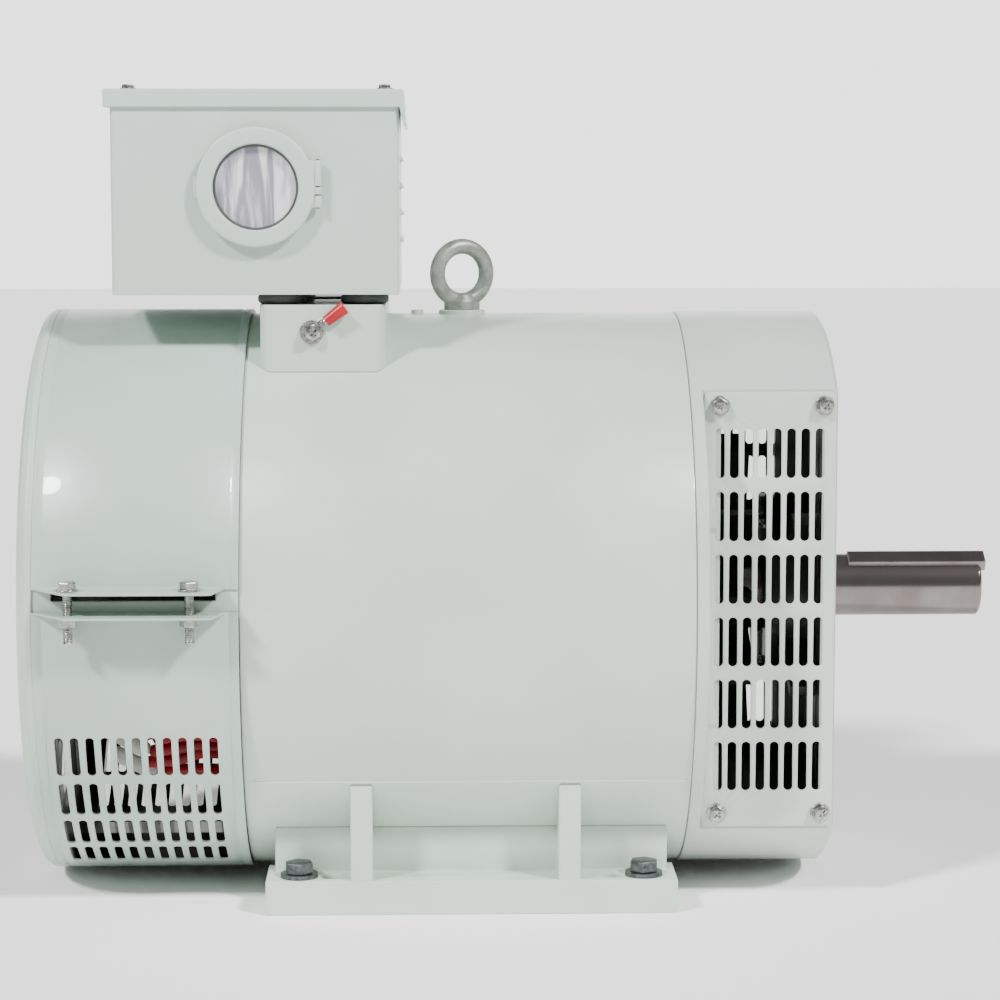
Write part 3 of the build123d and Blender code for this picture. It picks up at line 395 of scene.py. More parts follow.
def plated_metal(name, bright, dull, roughness, grain_mm=3.0):
    """Plated or blackened steel: cloudy colour and gloss."""
    material, tree, bsdf, place = new_material(name, Metallic=1.0, Roughness=roughness)
    cloud = blotch(tree, place, grain_mm, 4.0)
    tree.links.new(ramp(tree, cloud, 0.3, 0.7, colour(dull), colour(bright)), bsdf.inputs["Base Color"])
    tree.links.new(scaled(tree, cloud, roughness - 0.08, roughness + 0.12), bsdf.inputs["Roughness"])
    emboss(tree, bsdf, blotch(tree, place, 1.2), 0.02, 0.35)
    return material


# Turned: name, bright and dull colour, ring pitch in mm, roughness, stain. Plated: the same, without pitch.
SHAFT_STEEL = turned_metal("turned shaft steel", "#9C9896", "#7E7977", 0.35, 0.17, "#4A332A", 0.5)
BEARING_STEEL = turned_metal("ground bearing steel", "#C9CBCC", "#A6A8AA", 0.5, 0.14)
ZINC = plated_metal("bright zinc plate", "#C9CAC6", "#85867F", 0.24)
DARK_BOLT = plated_metal("phosphated steel", "#747879", "#4A4D4E", 0.42)
EYE_STEEL = plated_metal("thin grey paint on forged steel", "#A9ADA6", "#83877F", 0.42, 6.0)
EYE_STEEL.node_tree.nodes["Principled BSDF"].inputs["Metallic"].default_value = 0.55
BRASS = turned_metal("turned brass", "#D9B36A", "#A98542", 0.6, 0.26)
# The cooling fan inside the drive end is coloured dark grey.
FAN_METAL = plated_metal("sooty cast aluminium", "#3A3B3B", "#2A2B2B", 0.6, 5.0)

# %% Laminated steel and varnished copper
LAMINATION_MM = 1.0  # real sheets are 0.5 mm thick and drawn twice as coarse to show


def laminated(name):
    """Stacked electrical steel: thin dark joints between the sheets, under varnish."""
    material, tree, bsdf, place = new_material(name, Metallic=0.7, Roughness=0.5)
    wave = add(tree, "TexWave", {"Scale": 1000.0 / LAMINATION_MM / 20, "Distortion": 0.3}, {"Vector": place},
               wave_type="BANDS", bands_direction="X")
    tree.links.new(ramp(tree, wave.outputs["Fac"], 0.2, 0.9, colour("#1B1A1A"), colour("#4A4846")),
                   bsdf.inputs["Base Color"])
    emboss(tree, bsdf, wave.outputs["Fac"], 0.08)
    return material


def varnished_copper(name):
    """Bundled winding wire under red-brown varnish."""
    material, tree, bsdf, place = new_material(name, Roughness=0.35, Coat_Weight=0.6)
    strands = add(tree, "TexNoise", {"Scale": 420.0, "Detail": 2.0, "Distortion": 1.2}, {"Vector": place})
    tree.links.new(ramp(tree, strands.outputs["Fac"], 0.35, 0.7, colour("#2A0E07"), colour("#8A3A1C")),
                   bsdf.inputs["Base Color"])
    emboss(tree, bsdf, strands.outputs["Fac"], 0.5)
    return material


CORE_STEEL = laminated("varnished electrical steel")
COPPER = varnished_copper("varnished copper winding")

# %% [markdown]
# ## Plastics, rubber and film
# Moulded parts take one recipe: a solid colour with a fine moulded grain. The window film is thin, milky
# and creased, so it lets most light through and breaks up the rest.
# Its creases also carry painted highlights and painted shade in the film's colour.

# %% Moulded parts
def moulded(name, base, shade, roughness, grain_mm=1.5, depth_mm=0.02):
    """Moulded plastic or rubber with a fine grain."""
    material, tree, bsdf, place = new_material(name, Roughness=roughness)
    patch = blotch(tree, place, 12.0, 4.0)
    tree.links.new(ramp(tree, patch, 0.35, 0.65, colour(shade), colour(base)), bsdf.inputs["Base Color"])
    emboss(tree, bsdf, blotch(tree, place, grain_mm), depth_mm)
    return material


# Each line: name, base and shaded colour, roughness.
RUBBER = moulded("black mount rubber", "#4B4D4B", "#3A3C3A", 0.6)
CARBON = moulded("carbon brush block", "#222222", "#161616", 0.45)
BAKELITE = moulded("brown phenolic", "#3A251B", "#2A1A13", 0.35)
METER_BLACK = moulded("black meter case", "#1B1B1C", "#121213", 0.35)
RED_PVC = moulded("red insulation", "#B30A1E", "#8C0817", 0.38)
RED_SLEEVE = moulded("red sleeve of the earth lug", "#C00012", "#A0000E", 0.35)
WHITE_SLEEVE = moulded("white woven sleeve", "#EDEBE4", "#D5D3CB", 0.7, 1.0, 0.15)
DIAL_WHITE = moulded("white dial", "#E6E6E2", "#DCDCD8", 0.55)


def creased_film(name):
    """Clear protective film over the meter, with upright creases in its bump, and painted highlights and
    painted shade along them in its colour.
    """
    material, tree, bsdf, place = new_material(name, Roughness=0.18, Alpha=0.72, Coat_Weight=0.6)
    stretch = add(tree, "Mapping", {"Scale": (150.0, 60.0, 16.0), "Rotation": (0, radians(7), 0)},
                  {"Vector": place}).outputs["Vector"]
    creases = add(tree, "TexNoise", {"Scale": 1.0, "Detail": 3.0, "Distortion": 0.9},
                  {"Vector": stretch}).outputs["Fac"]
    # Painted highlights on the crease crests and painted shade in the folds, in the film's base colour.
    tree.links.new(ramp(tree, creases, 0.42, 0.60, colour("#A9A8B4"), colour("#F4F2F8")),
                   bsdf.inputs["Base Color"])
    tree.links.new(scaled(tree, creases, 0.45, 1.0), bsdf.inputs["Alpha"])
    emboss(tree, bsdf, creases, 1.6)
    return material


FILM = creased_film("creased protective film")

# %% Finishes for the construction's own nodes
FINISHES = {
    CASTING_ENAMEL: "box_pedestal foot_front foot_back rear_bearing_cover bracket_bolts",
    FRAME_ENAMEL: "stator_shell",
    REAR_ENAMEL: "rear_end_bracket",
    DRIVE_ENAMEL: "drive_end_bracket",
    SHADOW_PAINT: "drive_bearing_cap",
    SHEET_ENAMEL: "terminal_box box_lid window_ring window_hinge_leaf",
    COVER_ENAMEL: "upper_cover_band lower_cover_band",
    GRILLE_ENAMEL: "grille_front grille_back",
    SHAFT_STEEL: "rotor_shaft shaft_key window_hinge_pin brush_spring_a brush_spring_b",
    BEARING_STEEL: "drive_bearing_outer_ring drive_bearing_inner_ring drive_bearing_balls "
                   "rear_bearing_outer_ring rear_bearing_inner_ring rear_bearing_balls",
    ZINC: "band_bolts band_nuts grille_screws lid_screws ground_screw ground_washer ground_lug "
          "box_mount_bolts bearing_cover_screws",
    DARK_BOLT: "hold_down_bolts hold_down_washers",
    EYE_STEEL: "eye_bolt",
    CORE_STEEL: "stator_core rotor_core",
    COPPER: "stator_windings field_coils",
    BRASS: "slip_rings terminal_studs",
    CARBON: "carbon_brush_a carbon_brush_b",
    BAKELITE: "slip_ring_hub brush_holder terminal_board bridge_rectifier",
    RUBBER: "rubber_mounts",
    RED_PVC: "field_leads",
    RED_SLEEVE: "ground_lug_sleeve",
    WHITE_SLEEVE: "lead_sleeves",
    FILM: "window_pane",
    METER_BLACK: "meter_case",
    DIAL_WHITE: "meter_dial",
    FAN_METAL: "cooling_fan",
}
FINISH_OF = {}
for finish, names in FINISHES.items():
    for name in names.split():
        FINISH_OF[name] = finish
        NODES[name].data.materials.clear()
        NODES[name].data.materials.append(finish)
print("nodes with a finish:", len(FINISH_OF), "of", len(NODES))


def stand_for(piece, node, body="frame"):
    """Gives a finished piece its node's finish and body, and lets it replace the node."""
    piece.data.materials.clear()
    piece.data.materials.append(FINISH_OF[node])
    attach(piece, body)
    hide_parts(node)


# %% [markdown]
# ## The round frame
# The real frame is a rolled tube with a machined face at each end. A many-sided cylinder with a bevel at
# its rims is enough. The boss for the lifting eye is a second cylinder that sinks into it.

# %% Frame
ROUND = 160  # sides of the large cylinders, so that their outline looks round
SHELL_WALL = 8.7 * MM
BOSS_R, BOSS_H = 15.5 * MM, 10 * MM
SEAM_R, SEAM_INSET = 0.9 * MM, 8 * MM
SEAM = radians(34)  # below the horizontal, on the front
PLUG_X, PLUG_R, PLUG_H = -34 * MM, 4 * MM, 6 * MM
PLUG_SUNK = 0.6 * MM


def open_tube(name, radius, x0, x1):
    """The skin of a tube about the shaft, without thickness."""
    return start("cylinder", name, vertices=ROUND, radius=radius, depth=x1 - x0, end_fill_type="NOTHING",
                 location=((x0 + x1) / 2, 0, AXIS_Z), rotation=(0, pi / 2, 0))


shell = open_tube("frame_tube", SHELL_R, SHELL_X0, SHELL_X1)
finish_with(shell, "SOLIDIFY", thickness=SHELL_WALL, offset=-1)
boss = start("cylinder", "eye_boss", vertices=48, radius=BOSS_R, depth=BOSS_H,
             location=(middle("eye_bolt", 0), 0, span("stator_shell", 2)[1] - BOSS_H / 2))
soften(shell, 1.2 * MM)
soften(boss, 1.0 * MM)
seam = start("cylinder", "frame_seam", vertices=12, radius=SEAM_R, depth=SHELL_X1 - SHELL_X0 - SEAM_INSET,
             location=((SHELL_X0 + SHELL_X1) / 2, -SHELL_R * cos(SEAM), AXIS_Z - SHELL_R * sin(SEAM)),
             rotation=(0, pi / 2, 0))
smooth(seam, 60)
plug = start("cylinder", "frame_plug", vertices=24, radius=PLUG_R, depth=PLUG_H,
             location=(PLUG_X, 0, AXIS_Z + SHELL_R - PLUG_SUNK))
soften(plug, 0.6 * MM)
shell = join([shell, boss, seam, plug])
shell.name = "frame_tube"
stand_for(shell, "stator_shell")
print("frame tube faces:", len(shell.data.polygons))

# %% [markdown]
# ## Punched grilles
# Each grille is one sheet with 48 round-ended slots. The slot is modelled once: half of a short cylinder
# is moved away from the other half, which gives round ends. It is then repeated by two arrays and taken
# out of the plate in one cut, and a fine bevel gives the punched edge its glint.

# %% Grille plates
SLOT_W, SLOT_L = 5.8 * MM, 31.8 * MM
COLUMNS, ROWS = 8, 6
PITCH_X, PITCH_Z = 9.08 * MM, 40.4 * MM
PUNCH_DEPTH = 10 * MM
CORNER_R = 4 * MM


def slot_cutter(name, width, length, depth, location):
    """A round-ended bar that points along Y, longer in Z than it is wide."""
    cutter = start("cylinder", name, vertices=20, radius=width / 2, depth=depth, rotation=(pi / 2, 0, 0))
    pick(cutter, "VERT", lambda co: co.z > TINY)
    ops.transform.translate(value=(0, 0, length - width))
    done()
    x, y, z = location
    for v in cutter.data.vertices:
        v.co += type(v.co)((x, y, z - (length - width) / 2))
    return cutter


def grille(name, node):
    """A punched plate in place of a plain one."""
    (x0, x1), (y0, y1), (z0, z1) = (span(node, i) for i in range(3))
    plate = start("cube", name, size=1, location=((x0 + x1) / 2, (y0 + y1) / 2, (z0 + z1) / 2),
                  scale=(x1 - x0, y1 - y0, z1 - z0))
    pick(plate, "EDGE", lambda a, b: abs(a.y - b.y) > TINY)
    ops.mesh.bevel(offset=CORNER_R, segments=5)
    done()
    first = ((x0 + x1) / 2 - (COLUMNS - 1) / 2 * PITCH_X, (y0 + y1) / 2, AXIS_Z - (ROWS - 1) / 2 * PITCH_Z)
    punch = slot_cutter("punch", SLOT_W, SLOT_L, PUNCH_DEPTH, first)
    for count, step in ((COLUMNS, (PITCH_X, 0, 0)), (ROWS, (0, 0, PITCH_Z))):
        finish_with(punch, "ARRAY", count=count, use_relative_offset=False, use_constant_offset=True,
                    constant_offset_displace=step)
    cut(plate, punch)
    soften(plate, 0.35 * MM, segments=2)
    stand_for(plate, node)
    print(name, "faces:", len(plate.data.polygons))


grille("front_grille", "grille_front")
grille("back_grille", "grille_back")

# %% [markdown]
# ## The rolled cover
# Two half bands of thin sheet close the rear bracket. Each starts as a tube, gets a shallow bead near both
# edges, which stiffens the real sheet, and is cut at its split line. The lower half has four rows of slots
# on each side that follow the curve, so one row is copied and turned about the shaft.

# %% Cover halves
BEAD_IN, BEAD_HALF, BEAD_DEEP = 6 * MM, 1.2 * MM, 0.7 * MM
FLANGE_OUT = 25 * MM
FLANGE_BACK = (-270.5 * MM, -152 * MM)
FLANGE_FRONT = (-248 * MM, -159 * MM)
FLANGE_ROOT = 3 * MM  # how far the flange reaches into the band
COVER_SLOT_W, COVER_SLOT_L, COVER_PUNCH = 5.6 * MM, 30 * MM, 14 * MM
COVER_PITCH, COVER_COLUMNS = 9.6 * MM, 11
COVER_ROW_X = -209.2 * MM
SLOT_ANGLES = [26.6 + 11.2 * i for i in range(4)]


def half_band(name, level, keep_above):
    """Half of the rolled cover, with its beads."""
    band = open_tube(name, BAND_R, BAND_X0, BAND_X1)
    shrink = (BAND_R - BEAD_DEEP) / BAND_R
    for edge, way in ((BAND_X0, 1), (BAND_X1, -1)):
        for offset in (BEAD_IN - BEAD_HALF, BEAD_IN, BEAD_IN + BEAD_HALF):
            pick(band, "FACE", lambda centre, normal: True)
            ops.mesh.bisect(plane_co=(edge + way * offset, 0, 0), plane_no=(1, 0, 0))
            done()
        crest = edge + way * BEAD_IN
        pick(band, "VERT", lambda co: abs(co.x - crest) < TINY)
        ops.transform.resize(value=(1, shrink, shrink), center_override=(crest, 0, AXIS_Z))
        done()
    pick(band, "FACE", lambda centre, normal: True)
    ops.mesh.bisect(plane_co=(0, 0, level), plane_no=(0, 0, 1), clear_inner=keep_above,
                    clear_outer=not keep_above)
    done()
    finish_with(band, "SOLIDIFY", thickness=SHEET, offset=-1)
    return band


def flange(name, z0):
    """The out-turned bolting edge on the front: a plate narrowed towards its outer edge."""
    depth = FLANGE_OUT + FLANGE_ROOT
    x0, x1 = FLANGE_BACK
    x_mid = (x0 + x1) / 2
    plate = start("cube", name, size=1, location=(x_mid, -BAND_R + FLANGE_ROOT - depth / 2, z0 + SHEET / 2),
                  scale=(x1 - x0, depth, SHEET))
    outer = -BAND_R - FLANGE_OUT
    narrow = (FLANGE_FRONT[1] - FLANGE_FRONT[0]) / (x1 - x0)
    pick(plate, "VERT", lambda co: co.y < outer + 1 * MM)
    ops.transform.resize(value=(narrow, 1, 1), center_override=(x_mid, 0, 0))
    ops.transform.translate(value=((sum(FLANGE_FRONT) / 2) - x_mid, 0, 0))
    done()
    pick(plate, "EDGE", lambda a, b: abs(a.z - b.z) > TINY and a.y < outer + 1 * MM)
    ops.mesh.bevel(offset=3 * MM, segments=3)
    done()
    return plate


def cover_half(name, node, level, keep_above):
    """A finished half of the cover: band, slots in the lower one, and both flanges."""
    band = half_band(name, level, keep_above)
    if not keep_above:
        first_x = COVER_ROW_X - (COVER_COLUMNS - 1) / 2 * COVER_PITCH
        punch = slot_cutter("cover_punch", COVER_SLOT_W, COVER_SLOT_L, COVER_PUNCH,
                            (first_x, -BAND_R, AXIS_Z))
        finish_with(punch, "ARRAY", count=COVER_COLUMNS, use_relative_offset=False, use_constant_offset=True,
                    constant_offset_displace=(COVER_PITCH, 0, 0))
        turns = SLOT_ANGLES + [180 - angle for angle in SLOT_ANGLES]
        cut(band, copies(punch, [about_shaft(turn) for turn in turns]))
    z0 = level if keep_above else level - SHEET
    near = flange("flange", z0)
    far = mirrored(near, "flange_far")
    band = join([band, near, far])
    band.name = name
    soften(band, 0.3 * MM, angle=40, segments=1)
    stand_for(band, node)
    print(name, "faces:", len(band.data.polygons))


SPLIT_TOP = span("upper_cover_band", 2)[0]
SPLIT_LOW = span("lower_cover_band", 2)[1]
cover_half("upper_cover", "upper_cover_band", SPLIT_TOP, True)
cover_half("lower_cover", "lower_cover_band", SPLIT_LOW, False)

# %% [markdown]
# ## Screws and bolts
# One recipe serves every screw: a washer, a hexagon head with its rim bevelled and a shank that points
# down. Thread is one barrel-shaped ring, repeated by an array, one ring for each turn. Each finished screw
# is copied to its places as a mesh.

# %% One screw recipe
def hex_screw(name, head_r, head_h, washer_r, washer_h, shank_r, reach, recess=0.0):
    """A screw that points down from z = 0, its washer and head above, with a cross recess if asked."""
    washer = start("cylinder", name, vertices=40, radius=washer_r, depth=washer_h,
                   location=(0, 0, washer_h / 2))
    soften(washer, 0.2 * MM, segments=1)
    top = washer_h + head_h
    head = start("cylinder", "head", vertices=6, radius=head_r, depth=head_h,
                 location=(0, 0, washer_h + head_h / 2))
    pick(head, "EDGE", lambda a, b: min(a.z, b.z) > top - TINY)
    ops.mesh.bevel(offset=0.13 * head_r, segments=2)
    done()
    if recess:
        for turn in (45, 135):
            bar = start("cube", "recess", size=1, location=(0, 0, top), rotation=(0, 0, radians(turn)),
                        scale=(2 * recess, 0.45 * recess, head_h))
            cut(head, bar)
    smooth(head, 25)
    shank = start("cylinder", "shank", vertices=20, radius=shank_r, depth=reach, location=(0, 0, -reach / 2))
    smooth(shank)
    return join([washer, head, shank])


def thread(name, radius, pitch, low, high):
    """A threaded rod along Z, as a pile of barrel-shaped rings."""
    ring = start("cylinder", name, vertices=24, radius=radius, depth=pitch, location=(0, 0, low + pitch / 2))
    pick(ring, "EDGE", lambda a, b: abs(a.z - b.z) < TINY)
    ops.mesh.bevel(offset=0.38 * pitch, segments=1)
    done()
    finish_with(ring, "ARRAY", count=round((high - low) / pitch), use_relative_offset=False,
                use_constant_offset=True, constant_offset_displace=(0, 0, pitch))
    smooth(ring, 20)
    return ring


# %% Screws of the grilles, the lid and the earth lug
FACE_Y = -span("grille_front", 1)[0]
PLATE_X = [158 * MM, 224.7 * MM]
PLATE_Z = [AXIS_Z - 131.5 * MM, AXIS_Z + 131.5 * MM]
LID_SCREW_X = (-216 * MM, -54 * MM)
LID_SCREW_Y = (-96 * MM, 96 * MM)
screw = hex_screw("grille_screw_set", head_r=5.3 * MM, head_h=3.8 * MM, washer_r=6.4 * MM,
                  washer_h=1.2 * MM, shank_r=2.4 * MM, reach=8 * MM, recess=2.6 * MM)
spots = [spot(x, -FACE_Y, z, (90, 0, 11 * i)) for i, x in enumerate(PLATE_X) for z in PLATE_Z]
spots += [spot(x, FACE_Y, z, (-90, 0, 0)) for x in PLATE_X for z in PLATE_Z]
stand_for(copies(screw, spots), "grille_screws")
lid_top = span("box_lid", 2)[1]
screw = hex_screw("lid_screw_set", head_r=4.4 * MM, head_h=2.2 * MM, washer_r=5.2 * MM,
                  washer_h=0.8 * MM, shank_r=2.4 * MM, reach=7 * MM, recess=2.2 * MM)
stand_for(copies(screw, [spot(x, y, lid_top) for x in LID_SCREW_X for y in LID_SCREW_Y]), "lid_screws")
washer_y = span("ground_washer", 1)[0]
screw = hex_screw("earth_screw", head_r=5.5 * MM, head_h=3.6 * MM, washer_r=4.8 * MM,
                  washer_h=0.2 * MM, shank_r=2.6 * MM, reach=8 * MM, recess=2.8 * MM)
stand_for(copies(screw, [spot(middle("ground_screw", 0), washer_y, middle("ground_screw", 2), (90, 0, 20))]),
          "ground_screw")

# %% Bolts of the cover flanges
FLANGE_BOLTS = [(x, y) for y in (-200.1 * MM, 200.1 * MM) for x in (-247 * MM, -173 * MM)]
bolt_low = span("band_bolts", 2)[0]
seat = SPLIT_TOP + SHEET
bolt = hex_screw("flange_bolt_set", head_r=5.9 * MM, head_h=4.6 * MM, washer_r=6.9 * MM,
                 washer_h=1.2 * MM, shank_r=2.7 * MM, reach=8 * MM)
rod = thread("flange_thread", radius=3.0 * MM, pitch=1.1 * MM, low=bolt_low - seat, high=0)
bolt = join([bolt, rod])
stand_for(copies(bolt, [spot(x, y, seat, (0, 0, 9 + 40 * i)) for i, (x, y) in enumerate(FLANGE_BOLTS)]),
          "band_bolts")
nut = hex_screw("flange_nut_set", head_r=5.9 * MM, head_h=4.6 * MM, washer_r=6.9 * MM,
                washer_h=1.2 * MM, shank_r=3.1 * MM, reach=0.5 * MM)
under = SPLIT_LOW - SHEET
stand_for(copies(nut, [spot(x, y, under, (180, 0, 31 * i)) for i, (x, y) in enumerate(FLANGE_BOLTS)]),
          "band_nuts")

# %% Hold-down bolts
washer_top = span("hold_down_washers", 2)[1]
bolt = hex_screw("hold_down_bolt_set", head_r=9.4 * MM, head_h=6.9 * MM, washer_r=7.6 * MM,
                 washer_h=0.5 * MM, shank_r=5.6 * MM, reach=18 * MM)
BOLT_X = 110 * MM
WASHER_R = 12 * MM
BOLT_Y = span("hold_down_washers", 1)[1] - WASHER_R
spots = [spot(x, y, washer_top, (0, 0, 13 * x / MM)) for x in (-BOLT_X, BOLT_X) for y in (-BOLT_Y, BOLT_Y)]
stand_for(copies(bolt, spots), "hold_down_bolts")

# %% [markdown]
# ## Feet
# A foot is a thick plate with a web and two ribs that run up to the round frame. Web and ribs are plain
# blocks with the frame's own radius taken out of them, so they meet it without a gap.

# %% Feet
FOOT_X = 131 * MM
FOOT_Y = (-150 * MM, -102 * MM)
FOOT_TOP = 22 * MM
FREE_HOLE_X = 90 * MM
HOLE_R = 6.5 * MM
SUNK = 1 * MM  # how far webs and ribs reach into the plate
WEB_X, WEB_Y, WEB_TOP = 126 * MM, (-122 * MM, -110 * MM), 75 * MM
RIBS = (-70 * MM, 62 * MM)
RIB_HALF, RIB_Y, RIB_TOP = 7 * MM, (-149.5 * MM, -104 * MM), 100 * MM
RIB_LEAN = 3.2 * MM  # the rib's outer edge leans outwards by this much at its top


def block(name, x0, x1, y0, y1, z0, z1):
    """A box between six planes."""
    return start("cube", name, size=1, location=((x0 + x1) / 2, (y0 + y1) / 2, (z0 + z1) / 2),
                 scale=(x1 - x0, y1 - y0, z1 - z0))


def fit_to_frame(piece):
    """Takes the round frame out of a piece."""
    cutter = start("cylinder", "frame_cutter", vertices=ROUND, radius=SHELL_R, depth=0.6,
                   location=(0, 0, AXIS_Z), rotation=(0, pi / 2, 0))
    cut(piece, cutter)


def build_foot():
    """The front foot: plate with its holes, web and ribs."""
    plate = block("front_foot", -FOOT_X, FOOT_X, *FOOT_Y, 0, FOOT_TOP)
    pick(plate, "EDGE", lambda a, b: min(a.x, b.x) > FOOT_X - TINY and max(a.z, b.z) < TINY)
    ops.mesh.bevel(offset=5 * MM, segments=4)
    done()
    holes = [start("cylinder", "hole", vertices=32, radius=HOLE_R, depth=0.06, location=(x, -BOLT_Y, 0))
             for x in (-BOLT_X, -FREE_HOLE_X, FREE_HOLE_X, BOLT_X)]
    cut(plate, join(holes))
    parts = [block("web", -WEB_X, WEB_X, *WEB_Y, FOOT_TOP - SUNK, WEB_TOP)]
    for x in RIBS:
        rib = block("rib", x - RIB_HALF, x + RIB_HALF, *RIB_Y, FOOT_TOP - SUNK, RIB_TOP)
        pick(rib, "VERT", lambda co: co.z > RIB_TOP - 1 * MM and co.y < RIB_Y[0] + 1 * MM)
        ops.transform.translate(value=(0, -RIB_LEAN, 0))
        done()
        parts.append(rib)
    for part in parts:
        fit_to_frame(part)
    for part in parts + [plate]:
        soften(part, 1.0 * MM, angle=30, segments=3)
    foot = join([plate] + parts)
    foot.name = "front_foot"
    return foot


front_foot = build_foot()
back_foot = mirrored(front_foot, "back_foot")
stand_for(front_foot, "foot_front")
stand_for(back_foot, "foot_back")
print("foot faces:", len(front_foot.data.polygons))

# %% [markdown]
# ## Rubber mounts and the meter window
# The box stands on four rubber buffers, which bulge: a short cylinder with a wide bevel. The window is a
# turned ring on two hinge knuckles, with a dark rubber gasket where the film is held that is also painted
# shade inside the rim.

# %% Rubber mounts
MOUNT_R, MOUNT_BULGE = 15.5 * MM, 2.9 * MM
MOUNT_X = (-120.5 * MM, -67.5 * MM)
MOUNT_Y = (-84 * MM, 84 * MM)
mount_low, mount_high = span("rubber_mounts", 2)
buffer = start("cylinder", "rubber_buffer_set", vertices=48, radius=MOUNT_R, depth=mount_high - mount_low,
               location=(0, 0, (mount_low + mount_high) / 2))
pick(buffer, "EDGE", lambda a, b: abs(a.z - b.z) < TINY)
ops.mesh.bevel(offset=MOUNT_BULGE, segments=6)
done()
smooth(buffer, 60)
stand_for(copies(buffer, [spot(x, y, 0) for x in MOUNT_X for y in MOUNT_Y]), "rubber_mounts")

# %% Window ring with its knuckles and gasket, the gasket partly painted shade
WIN_X, WIN_Z = middle("window_pane", 0), middle("window_pane", 2)
RING_R, RING_HOLE = 37.7 * MM, 27.0 * MM
PANE_Y = span("window_pane", 1)[0]
BOX_FRONT = -107 * MM
RING_Y = span("window_ring", 1)
HINGE = (middle("window_hinge_pin", 0), middle("window_hinge_pin", 1))
KNUCKLE_R = 2.4 * MM
KNUCKLES = ((0.6 * MM, 16.8 * MM), (-12.8 * MM, -5.4 * MM))  # low and high end of each, from the middle


def window_tube(name, outer, inner, y0, y1):
    """A ring round the window's axis."""
    ring = start("cylinder", name, vertices=120, radius=outer, depth=y1 - y0, end_fill_type="NOTHING",
                 location=(WIN_X, (y0 + y1) / 2, WIN_Z), rotation=(pi / 2, 0, 0))
    finish_with(ring, "SOLIDIFY", thickness=outer - inner, offset=-1)
    soften(ring, 1.3 * MM, angle=40, segments=4)
    return ring


ring_parts = [window_tube("meter_window_ring", RING_R, RING_HOLE, RING_Y[0], PANE_Y - 0.1 * MM),
              window_tube("seat", RING_R - 1.5 * MM, 31 * MM, PANE_Y - 1.5 * MM, RING_Y[1])]
for low, high in KNUCKLES:
    knuckle = start("cylinder", "knuckle", vertices=28, radius=KNUCKLE_R, depth=high - low,
                    location=(*HINGE, WIN_Z + (low + high) / 2))
    strap = block("strap", HINGE[0] - 9 * MM, HINGE[0], HINGE[1] - 1.2 * MM, HINGE[1] + 1.2 * MM,
                  WIN_Z + low, WIN_Z + high)
    for part in (knuckle, strap):
        soften(part, 0.5 * MM)
        ring_parts.append(part)
lip = block("lip", WIN_X - RING_R - 1.5 * MM, WIN_X - RING_R + 5 * MM, RING_Y[0] + 2.5 * MM, RING_Y[1],
            WIN_Z - 7 * MM, WIN_Z + 7 * MM)
soften(lip, 0.8 * MM, segments=3)
stand_for(join(ring_parts + [lip]), "window_ring", "window")
low, high = WIN_Z - 4.6 * MM, WIN_Z - 0.2 * MM
leaf = start("cylinder", "hinge_leaf", vertices=28, radius=KNUCKLE_R, depth=high - low,
             location=(*HINGE, (low + high) / 2))
arm = block("arm", HINGE[0] + 0.2 * MM, HINGE[0] + KNUCKLE_R, HINGE[1], BOX_FRONT, low, high)
soften(leaf, 0.4 * MM)
soften(arm, 0.3 * MM)
stand_for(join([leaf, arm]), "window_hinge_leaf")
# Partly painted shade: the dark rubber ring also stands in for the shadow that the rim casts into the
# window.
gasket_and_shade = start("torus", "window_gasket", major_radius=RING_HOLE - 0.2 * MM, minor_radius=1.4 * MM,
               major_segments=96, minor_segments=14, location=(WIN_X, PANE_Y - 0.6 * MM, WIN_Z),
               rotation=(pi / 2, 0, 0))
smooth(gasket_and_shade, 80)
gasket_and_shade.data.materials.append(RUBBER)
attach(gasket_and_shade, "window")
print("gasket faces:", len(gasket_and_shade.data.polygons))

# %% [markdown]
# ## Leads behind the slots
# Seven red leads come off the brush gear, and every second one ends in a white sleeve. A lead is drawn as
# a chain of points: one vertex extruded along the route. The skin modifier gives it thickness and a
# subdivision rounds it.

# %% Leads and sleeves
LEADS = 7
LEAD_R, SLEEVE_R = 4.6 * MM, 5.6 * MM


def on_drum(x, radius, degrees):
    """A point at a radius from the shaft axis, so many degrees below the horizontal on the front side."""
    angle = radians(degrees)
    return (x, -radius * cos(angle), AXIS_Z - radius * sin(angle))


def cable(name, points, radius):
    """A round flexible tube through the points."""
    piece = start("plane", name, size=1 * MM)
    pick(piece, "VERT", lambda co: True)
    ops.mesh.merge(type="CENTER")
    ops.transform.translate(value=points[0])
    for a, b in zip(points, points[1:]):
        ops.mesh.extrude_vertices_move(TRANSFORM_OT_translate={"value": [q - p for p, q in zip(a, b)]})
    done()
    piece.modifiers.new("skin", "SKIN")
    for v in piece.data.skin_vertices[0].data:
        v.radius = (radius, radius)
    ops.object.modifier_apply(modifier="skin")
    finish_with(piece, "SUBSURF", levels=2)
    smooth(piece, 80)
    return piece


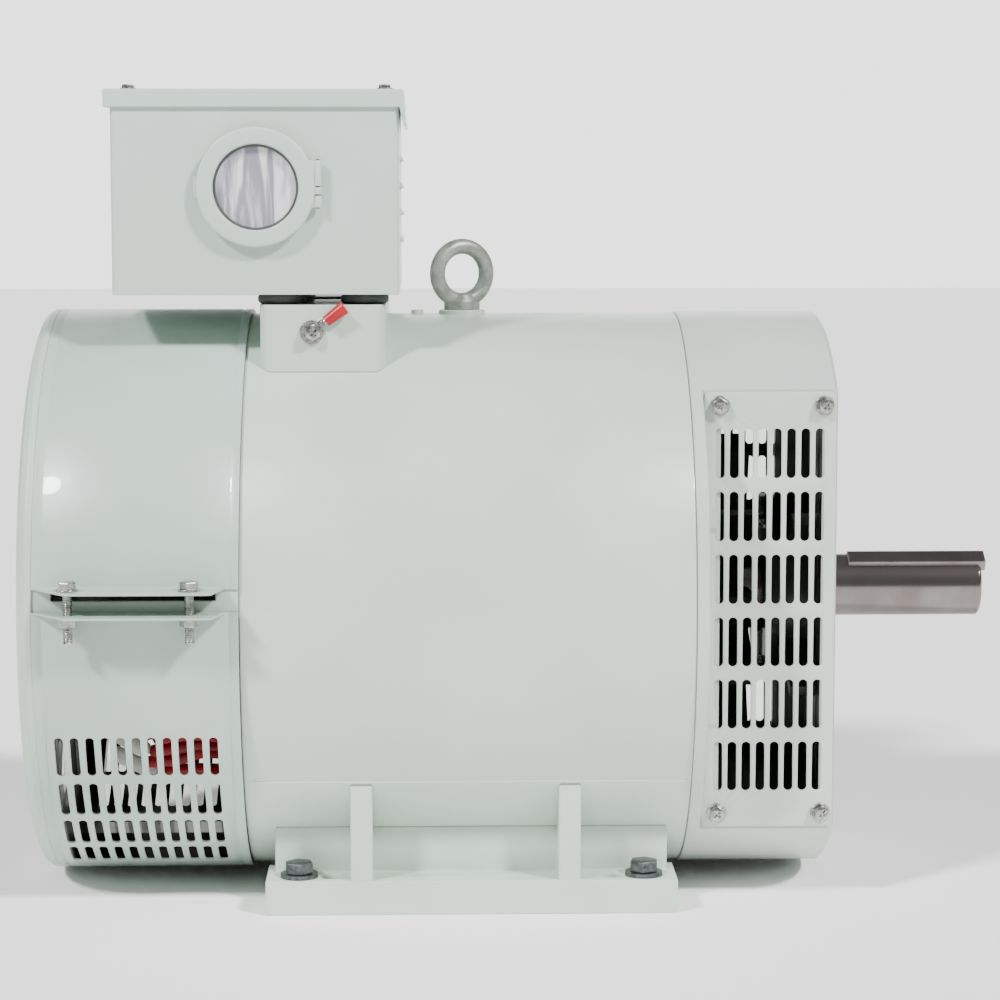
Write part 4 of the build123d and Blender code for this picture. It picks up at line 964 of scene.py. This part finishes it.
leads, sleeves = [], []
for i in range(LEADS):
    low = 19 + 4.1 * i  # degrees below the horizontal
    bow = 3 * (i % 3)  # millimetres by which neighbours differ
    route = [on_drum(-122 * MM, 0.146, low + 3), on_drum(-150 * MM, 0.150 - bow * MM, low + 1),
             on_drum(-172 * MM, 0.154 - bow * MM, low - 2), on_drum(-190 * MM, 0.153, low - 1),
             on_drum((-203 - bow) * MM, 0.148, low + 2)]
    leads.append(cable("field_lead_set", route, LEAD_R))
    if i % 2 == 0:
        tail = [route[-1], on_drum((-214 - bow) * MM, 0.150, low - 2),
                on_drum((-231 - bow) * MM, 0.146, low - 6)]
        sleeves.append(cable("lead_sleeve_set", tail, SLEEVE_R))
stand_for(join(leads), "field_leads")
stand_for(join(sleeves), "lead_sleeves")
print("leads:", len(leads), "sleeves:", len(sleeves))

# %% [markdown]
# ## Camera, floor and light
# The machine stands on a pale floor under two soft suns, in a white room that is brighter behind it. The
# camera is about two metres away and a little above the shaft, and looks slightly down.

# %% Camera
LOOK_DOWN, LOOK_ASIDE = 0.111, -0.026  # radians below the horizontal, and towards the shaft end
camera_data = bpy.data.cameras.new("catalogue_camera")
camera_data.sensor_width = 36.0  # millimetres, as is the lens
camera_data.lens = 105.8
camera = bpy.data.objects.new("catalogue_camera", camera_data)
camera.location = (-0.0298, -1.9762, AXIS_Z + 0.2786)
camera.rotation_euler = (pi / 2 - LOOK_DOWN, 0, LOOK_ASIDE)
bpy.context.collection.objects.link(camera)
bpy.context.scene.camera = camera

# %% Floor and lights
floor = start("plane", "studio_floor", size=14, location=(0, 3.0, 0))
floor_paint, floor_tree, floor_bsdf, floor_place = new_material("white studio floor", Roughness=0.9)
floor_tone = ramp(floor_tree, blotch(floor_tree, floor_place, 900.0), 0.3, 0.7, colour("#FBFBFA"),
                  colour("#FFFFFF"))
floor_tree.links.new(floor_tone, floor_bsdf.inputs["Base Color"])
floor.data.materials.append(floor_paint)


def sun(name, azimuth, height, strength, spread):
    """A soft distant light, by its compass angle from the front, its height and its spread in degrees."""
    data = bpy.data.lights.new(name, "SUN")
    data.energy = strength
    data.angle = radians(spread)
    lamp = bpy.data.objects.new(name, data)
    lamp.rotation_euler = (radians(90 - height), 0, radians(azimuth))
    lamp.location = (0, 0, 2)
    bpy.context.collection.objects.link(lamp)


ROOM_DIM, ROOM_BRIGHT = 0.28, 2.6  # strength of the room round the machine and behind it
sun("key_left", azimuth=-48, height=42, strength=3.7, spread=7)
sun("key_right", azimuth=50, height=42, strength=4.3, spread=7)
world = bpy.data.worlds.new("white_room")
bpy.context.scene.world = world
world.use_nodes = True
world_tree = world.node_tree
background = world_tree.nodes["Background"]
background.inputs["Color"].default_value = colour("#FFFFFF")
way = add(world_tree, "TexCoord").outputs["Generated"]
away = add(world_tree, "SeparateXYZ", links={"Vector": way}).outputs["Y"]
lit = add(world_tree, "MapRange",
          {"From Min": 0.88, "From Max": 0.96, "To Min": ROOM_DIM, "To Max": ROOM_BRIGHT}, {"Value": away})
world_tree.links.new(lit.outputs["Result"], background.inputs["Strength"])
